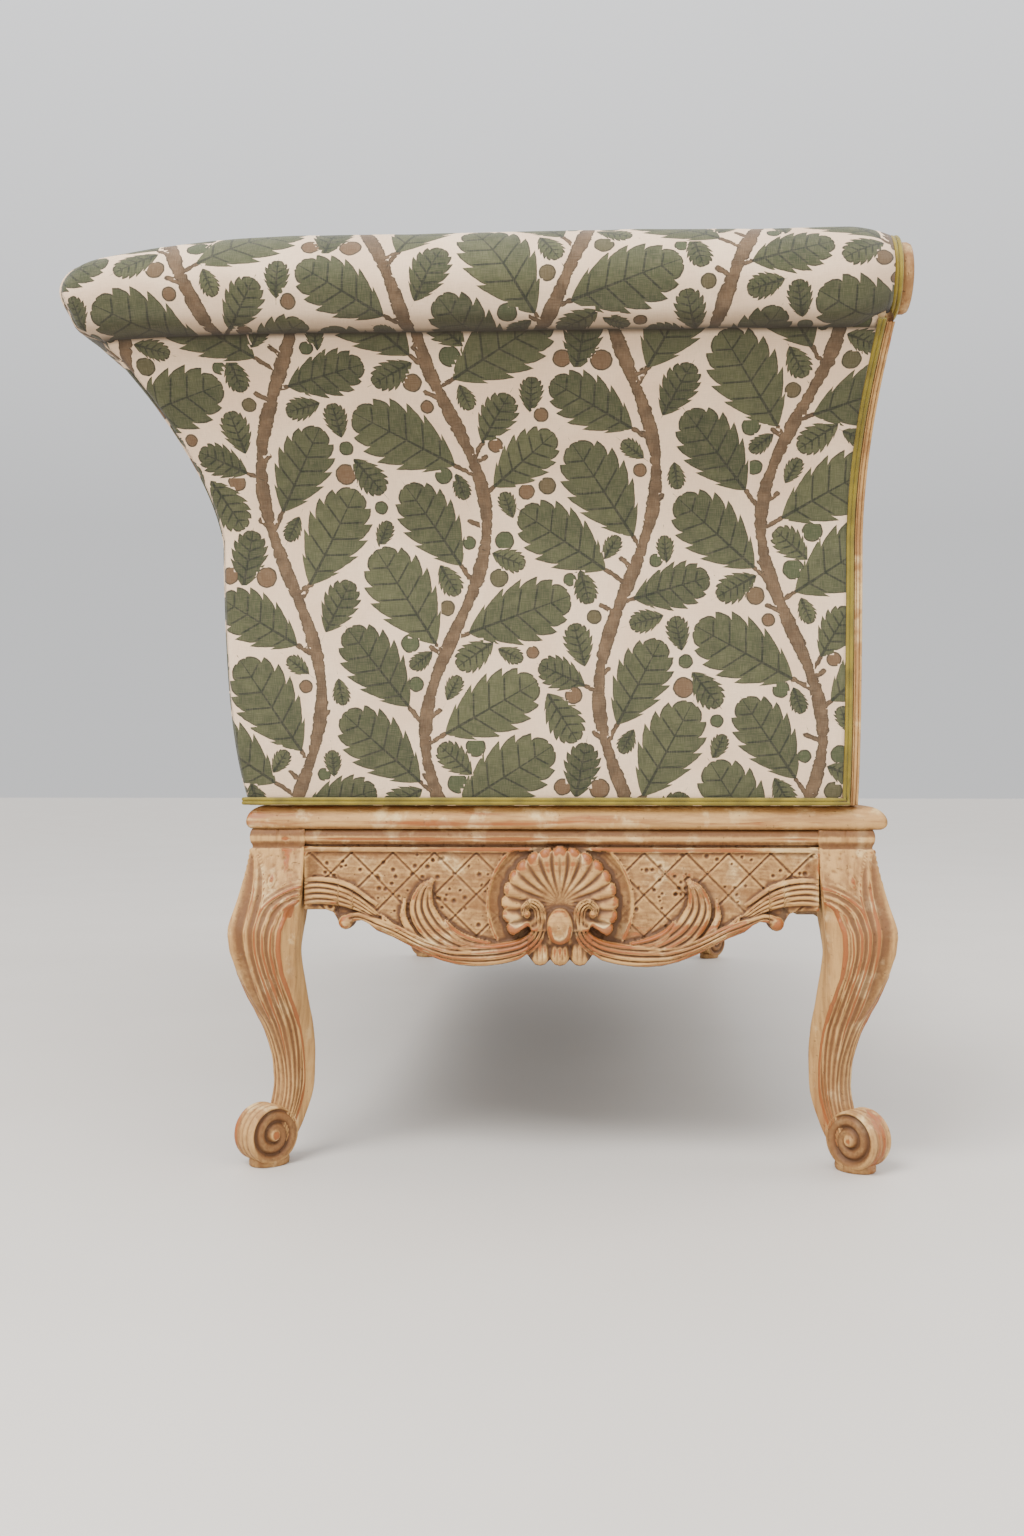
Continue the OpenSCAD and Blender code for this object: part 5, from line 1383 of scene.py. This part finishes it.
# %% [markdown]
# The facing is a carved board on the arm's front. It follows the arm's outline, is swept
# forward with it and ends under a turned disc. Its surface is laid between four border
# lines, so reeds along its edges follow the outline.
# %% Front facings
def facing(name, node, wall):
    rows, across = ((240, 60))
    t, w = np.linspace(0, 1, rows + 1)[:, None], np.linspace(0, 1, across + 1)

    def along(line):
        run = np.linspace(0, 1, len(line))
        return columns(np.interp(t, run, line[:, 0]), np.interp(t, run, line[:, 1]))

    a = along(evenly(moved_out(outer_line, -0.002), 0.004)[:-1])
    b = along(evenly(moved_out(inner_line, 0.0035), 0.004))
    first, last = -52, -215
    gap = 0.0428 + 0.0085 * np.abs(2 * w - 1) ** 5
    top = on_roll(first + (last - first) * w, gap[:, None])
    top[0], top[-1] = a[-1, 0], b[-1, 0]
    base = a[0] + (b[0] - a[0]) * w[:, None]
    tt, ww = t[..., None], w[:, None]
    flat = ((1 - tt) * base + tt * top + (1 - ww) * a + ww * b
            - ((1 - tt) * (1 - ww) * a[0] + (1 - tt) * ww * b[0] + tt * (1 - ww) * a[-1]
               + tt * ww * b[-1]))
    from_edge, to_top = np.minimum(w, 1 - w), held((1 - t) / 0.04)
    reeds = (0.0024 * half_round(from_edge - 0.05, 0.09)
             + 0.0016 * half_round(from_edge - 0.19, 0.04))
    husks = hump(w - 0.5, 0.13) * np.abs(np.sin(t * math.pi * 14)) ** 0.6
    height = reeds * to_top + 0.0026 * husks * (t > 0.42) * to_top
    side = np.array([(0.0098, 0)] * 4 + [
        (0.0088, 0), (0.0080, 0), (0.0072, -0.0014), (0.0064, 0), (0.0052, 0.0002), (0.0042, 0),
        (0.0034, -0.0014), (0.0026, 0), (0.0018, 0.0002), (0.0010, 0)])
    share = np.minimum(np.arange(1, len(side) + 1) / 5, 1)[:, None]
    behind = flat[:, -1:] * (1 - share) + flat[:, :1] * share
    behind[..., 0] += side[:, 1]
    o, z = np.concatenate([flat, behind], 1).T.swapaxes(1, 2)
    deep, worn = (np.broadcast_to(row, (rows + 1, len(side)))
                  for row in (side[:, 0], side[:, 1] * 900 + 0.6))
    deep = np.concatenate([0.0028 - height, deep], 1)
    crest_and_shade = np.concatenate([height * 1000 - mean_around(height * 1000, 3), worn], 1)
    body(name, [node], columns(wall * (END_X + o), FACING_Y + deep + swept(z), z), paint_upright,
         crest_and_shade=crest_and_shade)


def disc(name, node, wall):
    """A turned disc with a rounded rim, a hollow and a button, made by spinning a line."""
    profile = [(0, 0), (0.0325, 0), (0.0337, 0.003), (0.0330, 0.006), (0.0322, 0.008),
               (0.0338, 0.010), (0.0350, 0.0135), (0.0349, 0.018), (0.0332, 0.0212),
               (0.030, 0.022), (0.0268, 0.0208), (0.0235, 0.0178), (0.019, 0.0162),
               (0.0145, 0.0166), (0.0125, 0.0178), (0.0115, 0.0172), (0.0098, 0.0168),
               (0.0092, 0.0192), (0.0068, 0.0212), (0.0035, 0.022), (0, 0.0222)]
    bm = bmesh.new()
    verts = [bm.verts.new((r, -h, 0)) for r, h in evenly(profile, 0.0012)]
    edges = [bm.edges.new(pair) for pair in zip(verts, verts[1:])]
    bmesh.ops.spin(bm, geom=verts + edges, cent=(0, 0, 0), axis=(0, 1, 0), angle=2 * math.pi,
                   steps=96, use_merge=True, use_duplicate=False)
    bmesh.ops.remove_doubles(bm, verts=bm.verts, dist=1e-5)
    bmesh.ops.recalc_face_normals(bm, faces=bm.faces)
    bmesh.ops.translate(bm, vec=(wall * (END_X + ROLL_O), DISC_Y, ROLL_Z + DISC_UP),
                        verts=bm.verts)
    mesh = bpy.data.meshes.new(name)
    bm.to_mesh(mesh)
    bm.free()
    show(name, mesh, paint_upright, "painted_wood", node)


for end, wall in (("left", -1), ("right", 1)):
    facing("facing_carved_" + end, "facing_" + end, wall)
    disc("disc_turned_" + end, "boss_" + end, wall)

# %% [markdown]
# What lies under and inside keeps its CAD shape and gets its own finish: sawn wood,
# steel, jute webbing and hessian, a cotton deck and a black cloth below.
# %% Finishes of the hidden pieces
def sawn_wood():
    f = Finish("sawn_wood", roughness=0.75)
    place = f.place()
    grain = f.noise(place, 45, 5, 0.6, (0.08, 1, 1))
    saw = f.noise(place, 300, 2, 0.5, (1, 0.2, 0.2))
    f.bump(grain + saw * 0.4, 0.0008)
    return f.paint(f.mix(f.ramp(grain, 0.3, 0.7), srgb(168, 132, 88), srgb(206, 174, 128)))


def steel():
    f = Finish("screw_steel", roughness=0.4, Metallic=1.0)
    scratch = f.noise(f.place(), 800, 3, 0.6)
    return f.paint(f.mix(scratch, srgb(150, 148, 144), srgb(186, 184, 178)),
                   f.ramp(scratch, 0.3, 0.7, 0.32, 0.5))


def woven(name, dark, light, pitch):
    """A plain weave: threads cross each other and their heights make the bump."""
    f = Finish(name, roughness=0.9)
    place = f.place()
    x, y, _ = f.node("SeparateXYZ", None, _0=place)
    turn = 2 * math.pi / pitch
    cross = f.math("SINE", x * turn) * f.math("SINE", y * turn)
    f.bump(cross, pitch * 0.2)
    shade = cross * 0.3 + f.noise(place, 120, 3)
    return f.paint(f.mix(f.ramp(shade, 0.2, 0.8), dark, light))


wood, screw = sawn_wood(), steel()
jute = woven("webbing_jute", srgb(132, 104, 66), srgb(184, 152, 104), 0.004)
hessian = woven("hessian", srgb(140, 112, 74), srgb(190, 160, 116), 0.0026)
cotton = woven("deck_cotton", srgb(172, 150, 118), srgb(198, 177, 144), 0.0014)
black = woven("dust_cloth", srgb(26, 25, 25), srgb(52, 50, 49), 0.002)
HIDDEN = {
    wood: ["corner_blocks", "cross_rails", "arm_sills", "arm_posts", "back_sill", "back_posts",
           "roll_rail_left", "roll_rail_right", "roll_rail_back"],
    screw: ["corner_screws", "board_screws"],
    jute: ["webbing_long", "webbing_across"],
    hessian: ["seat_hessian"],
    cotton: ["seat_deck"],
    black: ["dust_cover"],
}
for finish, names in HIDDEN.items():
    for name in names:
        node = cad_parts[name]
        if not node.material_slots:
            node.data.materials.append(finish)
        for slot in node.material_slots:
            slot.material = finish
print("CAD nodes with a finish", sum(len(names) for names in HIDDEN.values()))
